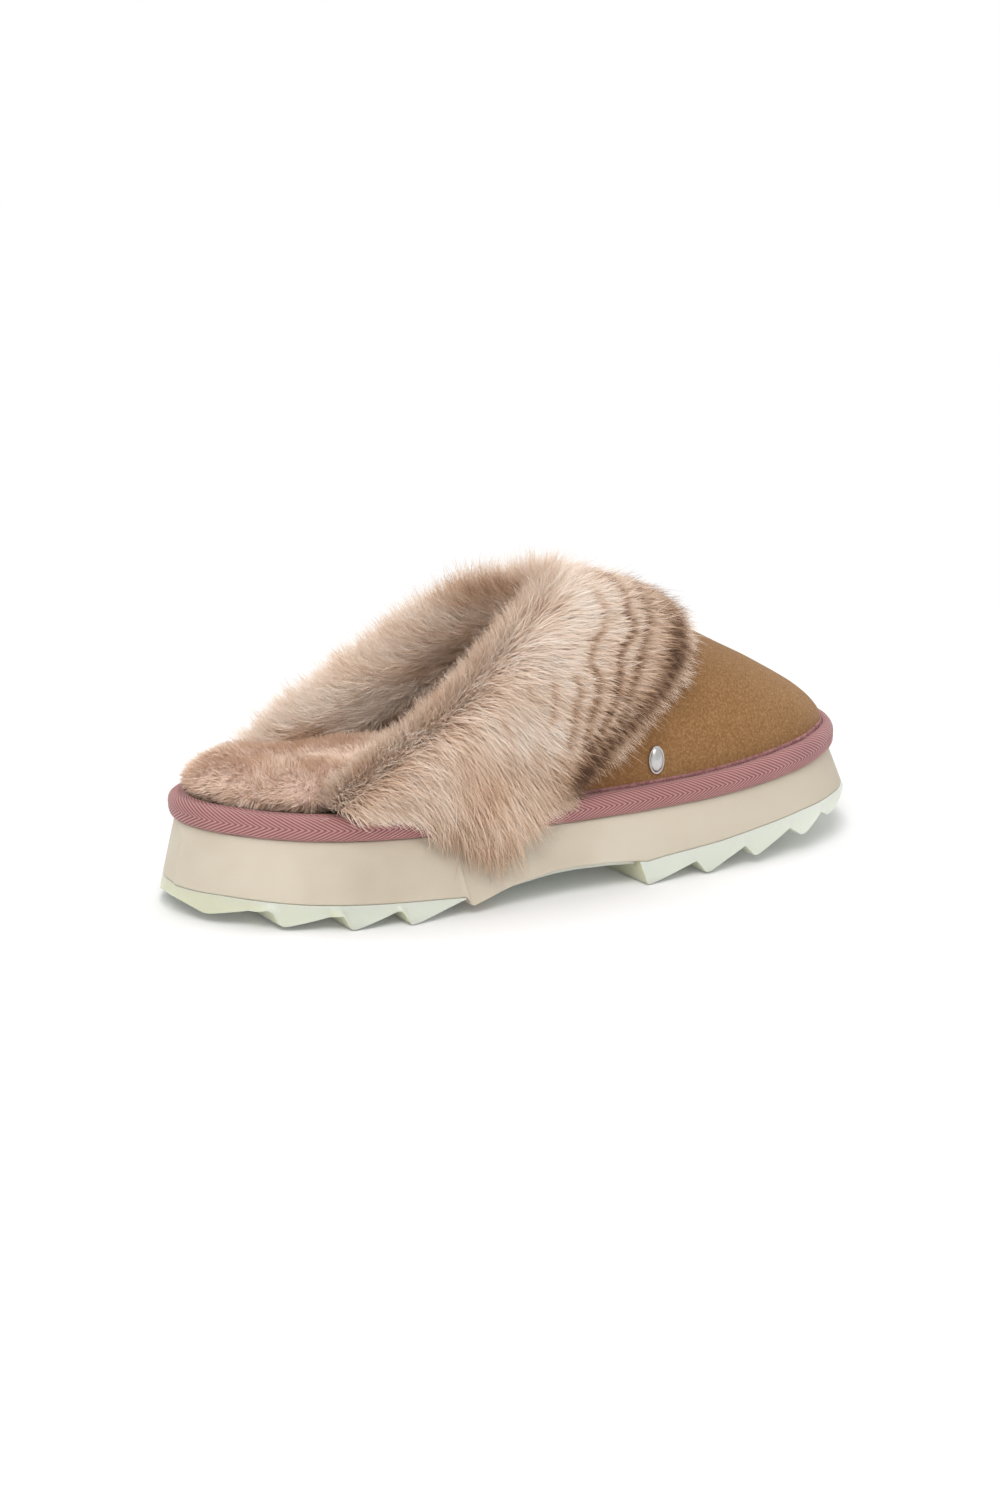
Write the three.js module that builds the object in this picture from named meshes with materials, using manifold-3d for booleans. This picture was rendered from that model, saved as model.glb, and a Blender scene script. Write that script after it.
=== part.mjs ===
// Right-foot fluffy platform slipper (open-back mule).
// Millimetres, +Z up, +X toward the toe, +Y toward the medial (inner) side of the foot.
// The origin is the centre of the footprint on the ground plane.
import * as THREE from 'three';
import * as BufferGeometryUtils from 'three/addons/utils/BufferGeometryUtils.js';
import Module from 'manifold-3d';

const wasm = await Module();
wasm.setup();

// ---------------------------------------------------------------- driving dimensions
// Plan outline of the top edge of the foam platform, heel centre, round the lateral side to the toe, back along the medial side.
const OUTLINE = [
  [-132.7, 3.0], [-129.7, -10.5], [-121.9, -22.1], [-109.2, -32.6], [-90.5, -39.8], [-62.3, -43.0], [-32.4, -45.2],
  [-2.5, -47.7], [25.8, -49.3], [52.0, -48.6], [75.9, -45.2], [97.8, -37.6], [114.0, -25.6], [124.3, -9.8],
  [128.9, 4.2], [126.0, 19.0], [117.0, 32.0], [102.0, 42.8], [82.0, 49.4], [57.0, 51.0], [30.0, 48.2],
  [0.0, 43.6], [-30.0, 40.2], [-60.0, 39.2], [-88.0, 38.2], [-107.7, 33.9], [-120.6, 25.6], [-129.4, 14.8],
];
const STATIONS = 40;                       // rungs from heel to toe
const PLATFORM_TOP = [[-150, 29.6], [-135, 29.0], [-80, 25.5], [-20, 23.2], [40, 24.3], [90, 27.6], [110, 29.2], [122, 29.1], [132, 28.6], [150, 28.0]];
const SIDE_FLARE = [[-150, 4.8], [-130, 5.2], [-95, 8.8], [-60, 10.4], [-10, 7.0], [50, 5.0], [130, 5.6], [150, 5.6]];
const UNDERSIDE = [                        // foam midsole underside in side view
  [-160, 10.2], [-139.7, 9.0], [-129.8, 9.3], [-110, 8.0], [-84, 6.9], [-57.0, 5.7], [-56.4, 3.3], [-55.0, 2.8],
  [-45.3, 5.2], [-38.4, 6.9], [-30.0, 8.2], [-22.1, 9.3], [-13.0, 9.5], [0.0, 8.9], [10.5, 7.9], [14.4, 7.3],
  [21.6, 8.2], [45.2, 9.8], [64.3, 12.0], [84.8, 14.0], [107.0, 15.2], [122.0, 15.1], [132.0, 14.8], [160.0, 14.4],
];
const HEEL_TREAD = [                       // sawtooth under the heel, from the arch notch back to the heel
  [-57.8, 5.0], [-76.6, 0.0], [-78.6, 0.0], [-80.9, 4.6], [-95.8, 0.1], [-97.8, 0.1], [-100.2, 5.0], [-115.6, 1.1],
  [-117.4, 1.1], [-119.4, 6.6], [-128.4, 4.2], [-133.8, 2.6], [-141.5, 7.6],
];
const FORE_TREAD = [                       // sawtooth under the forefoot, from the arch forward
  [10.6, 6.6], [12.2, 0.0], [14.4, 0.0], [34.0, 4.8], [37.0, 0.6], [38.8, 0.6], [55.7, 6.8], [59.0, 3.0], [60.6, 3.2],
  [77.5, 9.4], [83.0, 6.0], [84.6, 6.3], [96.0, 11.4], [100.8, 9.2], [102.2, 9.5], [112.0, 12.8], [135.0, 13.3], [160, 13.4],
];
const WEB_THICKNESS = 1.3;                 // rubber film under the arch
const GAP = 0.3;                           // clearance between touching pieces
const BINDING_HEIGHT = [[-150, 8.4], [-60, 8.3], [40, 8.7], [90, 9.3], [150, 9.2]];
const BINDING_BULGE = 1.9;
const BINDING_DEPTH = 3.8;
const VAMP_INSET = 3.0;
const VAMP_THICKNESS = 1.8;
const LINING_DEPTH = 3.6;
const LINING_THICKNESS = 1.5;
const RIDGE = [                            // height of the upper's ridge over the foot
  [-125, 104], [-90, 102], [-50, 99], [-10, 95.5], [15, 93], [40, 86], [60, 77.8], [75, 70.6], [100, 57.4], [112, 50.2],
  [119, 44.8], [123, 41.2], [125.4, 38.8],
];
const TOPLINE = [                          // edge of the foot opening in side view
  [-91, 33], [-86, 41], [-76, 46.5], [-60, 55.5], [-40, 68.5], [-19, 82.5], [-3, 90], [10, 94.5], [15, 98], [18, 130],
];
const COLLAR_FRONT = [[-14, 20], [-10, 36], [1, 47], [15, 58], [28, 67], [39, 74.5], [46, 80], [52, 130]];
const COLLAR_OUT = 8.0;                    // fur cuff thickness outside the upper
const COLLAR_IN = 5.5;                     // fur cuff thickness inside the lining
const COLLAR_RISE = 6.5;                   // fur cuff above the topline
const BADGE_AT = { x: 22.2, z: 40.6 };
const BADGE_SIZE = { w: 7.8, h: 11.2, dome: 2.0, post: 0.9 };

// ---------------------------------------------------------------- helpers
function lerpTable(table, x) {
  if (x <= table[0][0]) return table[0][1];
  for (let i = 1; i < table.length; i++) {
    if (x <= table[i][0]) {
      const [x0, y0] = table[i - 1], [x1, y1] = table[i];
      return y0 + ((y1 - y0) * (x - x0)) / (x1 - x0);
    }
  }
  return table[table.length - 1][1];
}
function smoothTable(table) {              // monotone cubic through the table
  const n = table.length, m = new Array(n);
  const d = table.slice(1).map((p, i) => (p[1] - table[i][1]) / (p[0] - table[i][0]));
  m[0] = d[0]; m[n - 1] = d[n - 2];
  for (let i = 1; i < n - 1; i++) m[i] = d[i - 1] * d[i] <= 0 ? 0 : (2 * d[i - 1] * d[i]) / (d[i - 1] + d[i]);
  return (x) => {
    if (x <= table[0][0]) return table[0][1] + m[0] * (x - table[0][0]);
    if (x >= table[n - 1][0]) return table[n - 1][1] + m[n - 1] * (x - table[n - 1][0]);
    let i = 1; while (x > table[i][0]) i++;
    const h = table[i][0] - table[i - 1][0], t = (x - table[i - 1][0]) / h;
    return (2 * t ** 3 - 3 * t ** 2 + 1) * table[i - 1][1] + (t ** 3 - 2 * t ** 2 + t) * h * m[i - 1]
      + (-2 * t ** 3 + 3 * t ** 2) * table[i][1] + (t ** 3 - t ** 2) * h * m[i];
  };
}
const zTop = smoothTable(PLATFORM_TOP);
const flare = smoothTable(SIDE_FLARE);
const bindH = smoothTable(BINDING_HEIGHT);
const ridge = smoothTable(RIDGE);
const zUnder = (x) => lerpTable(UNDERSIDE, x);
const zBind = (x) => zTop(x) + bindH(x);

const curve = new THREE.CatmullRomCurve3(OUTLINE.map(([x, y]) => new THREE.Vector3(x, y, 0)), true, 'centripetal');
const DENSE = 1400;
const base = [];
for (let i = 0; i < DENSE; i++) {
  const p = curve.getPoint(i / DENSE), t = curve.getTangent(i / DENSE);
  base.push({ x: p.x, y: p.y, nx: t.y, ny: -t.x });
}
{ // the normals point outward
  const c = base[Math.floor(DENSE / 4)];
  if (c.ny > 0) base.forEach((b) => { b.nx = -b.nx; b.ny = -b.ny; });
}
// Outline moved outward by off(x), sampled at paired lateral and medial stations.
function outline(off, count = STATIONS) {
  const pts = base.map((b) => { const d = off(b.x, b.y); return [b.x + b.nx * d, b.y + b.ny * d]; });
  let a = 0, c = 0;
  pts.forEach((p, i) => { if (p[0] < pts[a][0]) a = i; if (p[0] > pts[c][0]) c = i; });
  const side = (from, to, step) => {
    const out = [pts[from]];
    for (let i = from; i !== to;) {
      i = (i + step + DENSE) % DENSE;
      if (pts[i][0] > out[out.length - 1][0] + 1e-6) out.push(pts[i]);
    }
    return out;
  };
  const fwd = side(a, c, 1), rev = side(a, c, -1);
  const lateralFirst = fwd[Math.floor(fwd.length / 2)][1] < rev[Math.floor(rev.length / 2)][1];
  const lat = lateralFirst ? fwd : rev, med = lateralFirst ? rev : fwd;
  const x0 = pts[a][0], x1 = pts[c][0], ring = { x: [], lat: [], med: [] };
  for (let i = 0; i <= count; i++) {
    const x = (x0 + x1) / 2 - ((x1 - x0) / 2) * Math.cos((Math.PI * i) / count);
    ring.x.push(x);
    const edge = i === 0 ? pts[a][1] : i === count ? pts[c][1] : null;
    ring.lat.push(edge ?? lerpTable(lat, x));
    ring.med.push(edge ?? lerpTable(med, x));
  }
  return ring;
}
const ringPoints = (r, z) => {
  const n = r.x.length - 1, out = [];
  for (let i = 0; i <= n; i++) out.push([r.x[i], r.lat[i], z(r.x[i])]);
  for (let i = n - 1; i >= 1; i--) out.push([r.x[i], r.med[i], z(r.x[i])]);
  return out;
};
function solid(points, faces) {
  const g = new THREE.BufferGeometry();
  g.setAttribute('position', new THREE.Float32BufferAttribute(points.flat(), 3));
  g.setIndex(faces.flat());
  return outward(g);
}
function outward(g) {
  const p = g.attributes.position, idx = g.index.array;
  let v = 0;
  const a = new THREE.Vector3(), b = new THREE.Vector3(), c = new THREE.Vector3();
  for (let i = 0; i < idx.length; i += 3) {
    a.fromBufferAttribute(p, idx[i]); b.fromBufferAttribute(p, idx[i + 1]); c.fromBufferAttribute(p, idx[i + 2]);
    v += a.dot(b.cross(c)) / 6;
  }
  if (v < 0) {
    const flip = Array.from(idx);
    for (let i = 0; i < flip.length; i += 3) [flip[i + 1], flip[i + 2]] = [flip[i + 2], flip[i + 1]];
    g.setIndex(flip);
  }
  return g;
}
// Stack of outline rings, closed below and above by rungs from side to side.
function stack(layers) {
  const rings = layers.map(([r, z]) => ringPoints(r, z));
  const m = rings[0].length, n = m / 2, pts = rings.flat(), f = [];
  for (let k = 0; k + 1 < rings.length; k++) {
    for (let i = 0; i < m; i++) {
      const j = (i + 1) % m, a = k * m + i, b = k * m + j, c = (k + 1) * m + i, d = (k + 1) * m + j;
      f.push([a, b, d], [a, d, c]);
    }
  }
  const cap = (o, flip) => {
    for (let i = 0; i < n; i++) {
      const l0 = o + i, l1 = o + i + 1, m0 = o + ((m - i) % m), m1 = o + m - i - 1;
      const tris = [];
      if (l0 !== m0) tris.push([l0, m0, l1]);
      if (l1 !== m1) tris.push([m0, m1, l1]);
      tris.forEach((t) => f.push(flip ? [t[0], t[2], t[1]] : t));
    }
  };
  cap(0, false);
  cap((rings.length - 1) * m, true);
  return solid(pts, f);
}
// Closed section swept round a closed or open path of matching points.
function sweep(sections, closed) {
  const m = sections[0].length, n = sections.length, pts = sections.flat(), f = [];
  for (let k = 0; k < (closed ? n : n - 1); k++) {
    const k2 = (k + 1) % n;
    for (let i = 0; i < m; i++) {
      const j = (i + 1) % m;
      f.push([k * m + i, k * m + j, k2 * m + j], [k * m + i, k2 * m + j, k2 * m + i]);
    }
  }
  if (!closed) {
    for (let i = 1; i + 1 < m; i++) {
      f.push([0, i + 1, i]);
      f.push([(n - 1) * m, (n - 1) * m + i, (n - 1) * m + i + 1]);
    }
  }
  return solid(pts, f);
}
function toManifold(g) {
  const c = g.clone();
  c.deleteAttribute('normal'); c.deleteAttribute('uv');
  const w = BufferGeometryUtils.mergeVertices(c, 1e-4);
  const idx = w.index.array, keep = [];
  for (let i = 0; i < idx.length; i += 3) {
    if (idx[i] !== idx[i + 1] && idx[i + 1] !== idx[i + 2] && idx[i] !== idx[i + 2]) keep.push(idx[i], idx[i + 1], idx[i + 2]);
  }
  return new wasm.Manifold(new wasm.Mesh({
    numProp: 3, vertProperties: new Float32Array(w.attributes.position.array), triVerts: new Uint32Array(keep),
  }));
}
function fromManifold(man) {
  const s = man.simplify ? man.simplify(0.02) : man;
  const mesh = s.getMesh(), g = new THREE.BufferGeometry();
  const p = new Float32Array(mesh.numVert * 3);
  for (let i = 0; i < mesh.numVert; i++) for (let k = 0; k < 3; k++) p[i * 3 + k] = mesh.vertProperties[i * mesh.numProp + k];
  g.setAttribute('position', new THREE.BufferAttribute(p, 3));
  g.setIndex(Array.from(mesh.triVerts));
  return g;
}
const largest = (man) => man.decompose().sort((a, b) => b.volume() - a.volume())[0];
// Prism with an XZ outline, wide in Y.
function sideCutter(points, half = 120) {
  const shape = new THREE.Shape(points.map(([x, z]) => new THREE.Vector2(x, z)));
  const g = new THREE.ExtrudeGeometry(shape, { depth: 2 * half, bevelEnabled: false });
  g.rotateX(Math.PI / 2);                  // the drawing plane becomes XZ
  g.translate(0, half, 0);
  return toManifold(g);
}

// ---------------------------------------------------------------- soles
const flareAt = (x, y, z) => flare(x) * (y > 0 ? 0.86 : 1) * (zTop(x) - z) / (zTop(x) - Math.min(Math.max(zUnder(x), 6), 17));
const lowRing = outline((x, y) => flareAt(x, y, -1), 46);
const highRing = outline(() => 0, 46);
const block = toManifold(stack([[lowRing, () => -1], [highRing, zTop]]));
const above = (line, top) => [...line, [line[line.length - 1][0], top], [line[0][0], top]];
const midsole = block.intersect(sideCutter(above(UNDERSIDE, 80)));
const lowered = UNDERSIDE.map(([x, z]) => [x, z - GAP]);
const heelTop = [[-141.5, 8.7], ...lowered.filter(([x]) => x > -141 && x < -57.0), [-57.5, 5.42]];
const heelTread = block.intersect(sideCutter([...heelTop, ...HEEL_TREAD]));
const webLine = lowered.filter(([x]) => x > -50 && x < 11);
const foreTop = lowered.filter(([x]) => x > -50);
const webRing = toManifold(stack([[outline((x, y) => flareAt(x, y, 8) - 3.2, 46), () => -1], [outline((x, y) => flareAt(x, y, 8) - 3.2, 46), zTop]]));
const web = webRing.intersect(sideCutter([...webLine, [12.5, 7.2], [12.5, 6.0], ...webLine.slice().reverse().map(([x, z]) => [x, z - WEB_THICKNESS])]));
const foreBlock = block.intersect(sideCutter([...foreTop.filter(([x]) => x > 10), ...FORE_TREAD.slice().reverse()]));
const foreTread = foreBlock.add(web);

// ---------------------------------------------------------------- platform layers and binding
const ease = (a, b, x) => { const t = Math.min(Math.max((x - a) / (b - a), 0), 1); return t * t * (3 - 2 * t); };
const inset = (heel, fore, toe = fore) => (x) => -(heel + (fore - heel) * ease(-118, -107, x) + (toe - fore) * ease(50, 120, x));
const layer = (heel, fore, toe, z0, z1) => stack([[outline(inset(heel, fore, toe)), (x) => zTop(x) + z0], [outline(inset(heel, fore, toe)), (x) => zTop(x) + z1]]);
const core = layer(4.3, 4.3, 4.3, 0.3, 5.0);
const board = layer(4.8, 5.4, 5.4, 5.3, 7.0);
const cushion = layer(9.0, 11.4, 15.0, 7.3, 11.0);
const pile = (h) => (x) => zTop(x) + 11.3 + h * (1 - 0.66 * ease(30, 110, x));   // the fleece thins toward the toe
const skirt = (x) => zTop(x) + 11.3 - 2.5 * (1 - ease(0, 45, x));             // its edge comes down round the cushion
const fleece = stack([
  [outline(inset(8.4, 10.8, 20)), pile(0)], [outline(inset(8.2, 10.6, 19.8)), skirt], [outline(inset(3.4, 9.6, 19.6)), skirt],
  [outline(inset(2.2, 9.2, 19.4)), pile(0.2)], [outline(inset(2.7, 9.6, 20)), pile(3.8)], [outline(inset(5.6, 12.0, 22)), pile(7.4)],
  [outline(inset(12.0, 18.0, 27)), pile(9.6)],
]);

const profile = [[-BINDING_DEPTH, 0.3, 0], [0.4, 0.3, 0], [1.6, 1.5, 0], [BINDING_BULGE, 3.6, 0], [1.9, 5.9, 0.4], [1.0, 7.5, 0.8],
  [-0.7, 8.3, 1], [-2.4, 8.4, 1], [-BINDING_DEPTH, 8.4, 1]];
const bindRings = profile.map(([o, z, k]) => ringPoints(outline(() => o, 44), (x) => zTop(x) + z + k * (bindH(x) - 8.4)));
const binding = sweep(bindRings[0].map((_, i) => bindRings.map((r) => r[i])), true);

// Lockstitch line on the binding in front of the fur cuff, from side to side round the toe.
const threadRings = [[-2.55, 0.35], [-1.95, 0.35], [-1.95, 0.9], [-2.55, 0.9]].map(([o, z]) => {
  const r = outline(() => o, 44), pts = ringPoints(r, (x) => zBind(x) + z);
  return pts.filter((p, i) => i >= 22 && i <= pts.length - 22);
});
const thread = sweep(threadRings[0].map((_, i) => threadRings.map((r) => r[i])), false);

// ---------------------------------------------------------------- upper
// Arched surface over the foot: superellipse sections from the heel end to the toe.
const SECTIONS = 24, ARC = 16, POWER = 2.25;
// Arch for the surface moved outward by d from the outer face of the upper.
function archOf(d) {
  const rim = outline(() => d - VAMP_INSET, 240);
  const latT = rim.x.map((v, i) => [v, rim.lat[i]]), medT = rim.x.map((v, i) => [v, rim.med[i]]);
  const toe = rim.x[rim.x.length - 1];
  const point = (x, phi) => {
    const l = lerpTable(latT, x), m = lerpTable(medT, x), w = (m - l) / 2, mid = (m + l) / 2, z0 = zBind(x) + GAP;
    const slope = (ridge(x + 1) - ridge(x - 1)) / 2;
    const top = ridge(x) + d * Math.min(Math.hypot(1, slope), 1.7);
    const h = Math.max(top - z0, 0.8) * Math.min(1, Math.sqrt(Math.max(w, 0.3) / 9));
    const c = Math.cos(phi), s = Math.sin(phi);
    return new THREE.Vector3(x, mid - w * Math.sign(c) * Math.abs(c) ** (2 / POWER), z0 + h * Math.abs(s) ** (2 / POWER));
  };
  return { toe, point };
}
// Solid under that arch, with its flat base dropped by drop.
function under(d, drop) {
  const { toe, point } = archOf(d), sections = [];
  for (let i = 0; i <= SECTIONS; i++) {
    const t = i / SECTIONS;
    const x = t < 0.5 ? -118 + (60 + 118) * (t / 0.5) : 60 + (toe - 0.25 - 60) * Math.sin((Math.PI / 2) * ((t - 0.5) / 0.5));
    const pts = [];
    for (let j = 0; j <= ARC; j++) pts.push(point(x, (Math.PI * j) / ARC).toArray());
    const z = pts[0][2] - drop;
    sections.push([[pts[0][0], pts[0][1], z], ...pts, [pts[ARC][0], pts[ARC][1], z]]);
  }
  if (drop < 1e-6) sections.forEach((q) => { q.shift(); q.pop(); });
  const m = sections[0].length, n = sections.length, pts = sections.flat(), f = [];
  for (let k = 0; k + 1 < n; k++) {
    for (let i = 0; i < m; i++) {
      const j = (i + 1) % m;
      f.push([k * m + i, k * m + j, (k + 1) * m + j], [k * m + i, (k + 1) * m + j, (k + 1) * m + i]);
    }
  }
  const fan = (o, flip) => {
    for (let i = 0; 2 * i + 2 < m; i++) {
      const a = o + i, b = o + i + 1, c = o + m - 1 - i, e = o + m - 2 - i;
      const t = [[a, c, b]];
      if (b !== e) t.push([b, c, e]);
      t.forEach((q) => f.push(flip ? [q[0], q[2], q[1]] : q));
    }
  };
  fan(0, false); fan((n - 1) * m, true);
  return toManifold(solid(pts, f));
}
const shift = (line, dx, dz) => line.map(([x, z]) => [x + dx, z + dz]);
const ahead = (line) => [...line, [200, line[line.length - 1][1]], [200, line[0][1]]];   // everything toward the toe
const behind = (line) => [...line, [-200, line[line.length - 1][1]], [-200, line[0][1]]];
const opening = TOPLINE.concat([[18, 200]]);
const openingLow = [[-93, -20], [-92, 20], ...opening];
const inFront = sideCutter(ahead(openingLow));
const floorLine = (lift) => { const o = []; for (let x = -150; x <= 150; x += 6) o.push([x, zBind(x) + lift]); return o; };
const aboveBinding = (lift) => sideCutter(above(floorLine(lift), 250));

// badge frame on the lateral side of the upper
const { point: archPoint } = archOf(0);
function surfaceAt(x, z) {
  let lo = 0, hi = Math.PI / 2;
  for (let i = 0; i < 40; i++) { const m = (lo + hi) / 2; if (archPoint(x, m).z < z) lo = m; else hi = m; }
  const p = archPoint(x, lo), e = 0.01;
  const a = archPoint(x + 0.5, lo).sub(archPoint(x - 0.5, lo)), b = archPoint(x, lo + e).sub(archPoint(x, lo - e));
  const n = a.cross(b).normalize();
  if (n.y > 0) n.negate();
  return { p, n };
}
const badge = surfaceAt(BADGE_AT.x, BADGE_AT.z);
const badgeUp = new THREE.Vector3(0, 0, 1).sub(badge.n.clone().multiplyScalar(badge.n.z)).normalize();
const badgeSide = badgeUp.clone().cross(badge.n).normalize();
const badgeFrame = new THREE.Matrix4().makeBasis(badgeSide, badgeUp, badge.n).setPosition(badge.p);
const place = (g) => { g.applyMatrix4(badgeFrame); return g; };
const disc = (r, z0, z1, seg = 24) => {
  const g = new THREE.LatheGeometry([[0, z0], [r, z0], [r, z1], [0, z1]].map(([a, b]) => new THREE.Vector2(a, b)), seg);
  g.rotateX(Math.PI / 2);                  // the lathe axis becomes the surface normal
  return g;
};
const CHORD = 0.25;                        // allowance for the faceted upper below its true surface
const vamp = largest(under(0, 0).subtract(under(-VAMP_THICKNESS, 30)).intersect(inFront)
  .subtract(toManifold(place(disc(1.3, -8, 8)))));
const lining = largest(under(-LINING_DEPTH, 0).subtract(under(-LINING_DEPTH - LINING_THICKNESS, 30))
  .intersect(sideCutter(ahead(shift(openingLow, 1.5, -1.5)))));
const between = under(-VAMP_THICKNESS - 0.65, 0).subtract(under(-LINING_DEPTH + 0.65, 30));
const toePuff = largest(between.intersect(aboveBinding(0.9)).intersect(sideCutter([[86, -10], [104, 200], [200, 200], [200, -10]])));
const stayBand = sideCutter(ahead(shift(openingLow, 1.5, -1.5))).subtract(sideCutter(ahead(shift(openingLow, 11, -9))));
const stay = largest(between.intersect(stayBand).intersect(aboveBinding(1.0)));

// Fur cuff: wraps the topline, outside over the upper and inside over the lining.
const cuffZone = sideCutter(ahead(shift([[-93, -20], [-92, 20], ...TOPLINE.slice(0, -1), [20, 102], [26, 200]], -4.5, COLLAR_RISE)))
  .intersect(sideCutter(behind(COLLAR_FRONT)));
const cuffShell = under(COLLAR_OUT, 0).intersect(cuffZone).intersect(aboveBinding(1.4));
const upperStack = under(GAP + CHORD * 0.2, 20).subtract(under(-LINING_DEPTH - LINING_THICKNESS - GAP, 40))
  .intersect(sideCutter(ahead(shift(openingLow, -0.6, 0.6))));
const footSpace = under(-LINING_DEPTH - LINING_THICKNESS - GAP - COLLAR_IN, 40);
const innerLimit = under(-LINING_DEPTH, 40).intersect(sideCutter(behind([[40, -20], [40, 60], [52, 70], [52, 200]])).subtract(sideCutter(above(floorLine(13.2), 250))));
const innerFront = under(-LINING_DEPTH, 40).intersect(sideCutter(ahead([[-50, -20], [-50, 42], [-28, 60], [-4, 76], [24, 90], [30, 200]])));
const cuff = largest(cuffShell.subtract(upperStack).subtract(footSpace).subtract(innerLimit).subtract(innerFront));

// ---------------------------------------------------------------- badge
const capGeo = new THREE.LatheGeometry([[0, 0.35], [1, 0.35], [1, 0.75], [0.93, 1.15], [0.78, 1.6], [0.5, 2.0], [0.25, 2.18], [0, 2.24]]
  .map(([r, z]) => new THREE.Vector2(r, z)), 28);
capGeo.rotateX(Math.PI / 2);
capGeo.scale(BADGE_SIZE.w / 2, BADGE_SIZE.h / 2, 1);
const badgeCap = toManifold(place(capGeo)).add(toManifold(place(disc(BADGE_SIZE.post, -3.0, 0.8, 16))));
const washer = toManifold(place(disc(3.2, -3.1, -2.4, 24))).subtract(toManifold(place(disc(1.25, -6, 6, 20))));

// ---------------------------------------------------------------- assembly
const group = new THREE.Group();
const parts = [
  ['outsole_heel', fromManifold(heelTread), 0xdde2d2, 0.42],
  ['outsole_forefoot', fromManifold(foreTread), 0xdde2d2, 0.42],
  ['midsole', fromManifold(midsole), 0xdccfbd, 0.62],
  ['platform_core', core, 0xd9d0c0, 0.8],
  ['binding_tape', binding, 0xa8707a, 0.85],
  ['binding_stitch_thread', thread, 0x8f5560, 0.7],
  ['insole_board', board, 0xb59b78, 0.9],
  ['insole_cushion', cushion, 0xe8e2d2, 0.9],
  ['insole_sheepskin', fleece, 0xd9bba6, 1.0],
  ['vamp', fromManifold(vamp), 0xa97f54, 0.95],
  ['vamp_lining', fromManifold(lining), 0xd2b39c, 1.0],
  ['toe_puff', fromManifold(toePuff), 0xd8d2c4, 0.8],
  ['collar_stay_tape', fromManifold(stay), 0xcdbfa8, 0.85],
  ['fur_collar', fromManifold(cuff), 0xc9ad98, 1.0],
  ['badge_cap', fromManifold(badgeCap), 0xb9b9b9, 0.25, 1],
  ['badge_washer', fromManifold(washer), 0xa0a0a0, 0.4, 1],
];
const whole = new THREE.Box3();
for (const [, g] of parts) { g.computeBoundingBox(); whole.union(g.boundingBox); }
const centre = whole.getCenter(new THREE.Vector3());
for (const [name, g, color, roughness, metalness = 0] of parts) {
  g.computeVertexNormals();
  const mesh = new THREE.Mesh(g, new THREE.MeshStandardMaterial({ color, roughness, metalness }));
  mesh.name = name;
  mesh.position.set(-centre.x, -centre.y, -whole.min.z);
  group.add(mesh);
}
export default group;
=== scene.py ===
# Looks of the right-foot fluffy platform slipper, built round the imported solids. Numbers in the tables are
# millimetres in the design frame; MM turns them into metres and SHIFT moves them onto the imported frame.
import math

import bmesh
import bpy
import numpy as np
from mathutils import Matrix, Vector, kdtree


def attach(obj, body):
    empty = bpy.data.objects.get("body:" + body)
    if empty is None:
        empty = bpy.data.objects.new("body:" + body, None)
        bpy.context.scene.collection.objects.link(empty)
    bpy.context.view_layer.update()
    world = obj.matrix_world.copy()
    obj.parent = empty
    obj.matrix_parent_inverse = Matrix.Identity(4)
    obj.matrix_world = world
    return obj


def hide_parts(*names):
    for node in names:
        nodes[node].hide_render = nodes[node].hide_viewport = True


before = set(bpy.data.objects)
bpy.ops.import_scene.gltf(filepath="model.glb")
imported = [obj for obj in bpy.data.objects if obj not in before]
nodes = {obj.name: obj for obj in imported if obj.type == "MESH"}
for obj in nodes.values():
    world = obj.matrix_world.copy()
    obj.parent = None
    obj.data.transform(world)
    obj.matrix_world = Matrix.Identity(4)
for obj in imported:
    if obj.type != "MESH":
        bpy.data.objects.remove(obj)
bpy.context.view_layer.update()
MM = 0.001
rng = np.random.default_rng(20240611)

OUTLINE = [
    (-132.7, 3.0), (-129.7, -10.5), (-121.9, -22.1), (-109.2, -32.6), (-90.5, -39.8), (-62.3, -43.0), (-32.4, -45.2),
    (-2.5, -47.7), (25.8, -49.3), (52.0, -48.6), (75.9, -45.2), (97.8, -37.6), (114.0, -25.6), (124.3, -9.8),
    (128.9, 4.2), (126.0, 19.0), (117.0, 32.0), (102.0, 42.8), (82.0, 49.4), (57.0, 51.0), (30.0, 48.2),
    (0.0, 43.6), (-30.0, 40.2), (-60.0, 39.2), (-88.0, 38.2), (-107.7, 33.9), (-120.6, 25.6), (-129.4, 14.8)]
PLATFORM_TOP = [(-150, 29.6), (-135, 29.0), (-80, 25.5), (-20, 23.2), (40, 24.3), (90, 27.6), (110, 29.2), (122, 29.1), (132, 28.6), (150, 28.0)]
SIDE_FLARE = [(-150, 4.8), (-130, 5.2), (-95, 8.8), (-60, 10.4), (-10, 7.0), (50, 5.0), (130, 5.6), (150, 5.6)]
UNDERSIDE = [
    (-160, 10.2), (-139.7, 9.0), (-129.8, 9.3), (-110, 8.0), (-84, 6.9), (-57.0, 5.7), (-56.4, 3.3), (-55.0, 2.8),
    (-45.3, 5.2), (-38.4, 6.9), (-30.0, 8.2), (-22.1, 9.3), (-13.0, 9.5), (0.0, 8.9), (10.5, 7.9), (14.4, 7.3),
    (21.6, 8.2), (45.2, 9.8), (64.3, 12.0), (84.8, 14.0), (107.0, 15.2), (122.0, 15.1), (132.0, 14.8), (160.0, 14.4)]
HEEL_TREAD = [
    (-57.8, 5.0), (-76.6, 0.0), (-78.6, 0.0), (-80.9, 4.6), (-95.8, 0.1), (-97.8, 0.1), (-100.2, 5.0), (-115.6, 1.1),
    (-117.4, 1.1), (-119.4, 6.6), (-128.4, 4.2), (-133.8, 2.6), (-141.5, 7.6)][::-1]
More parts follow.
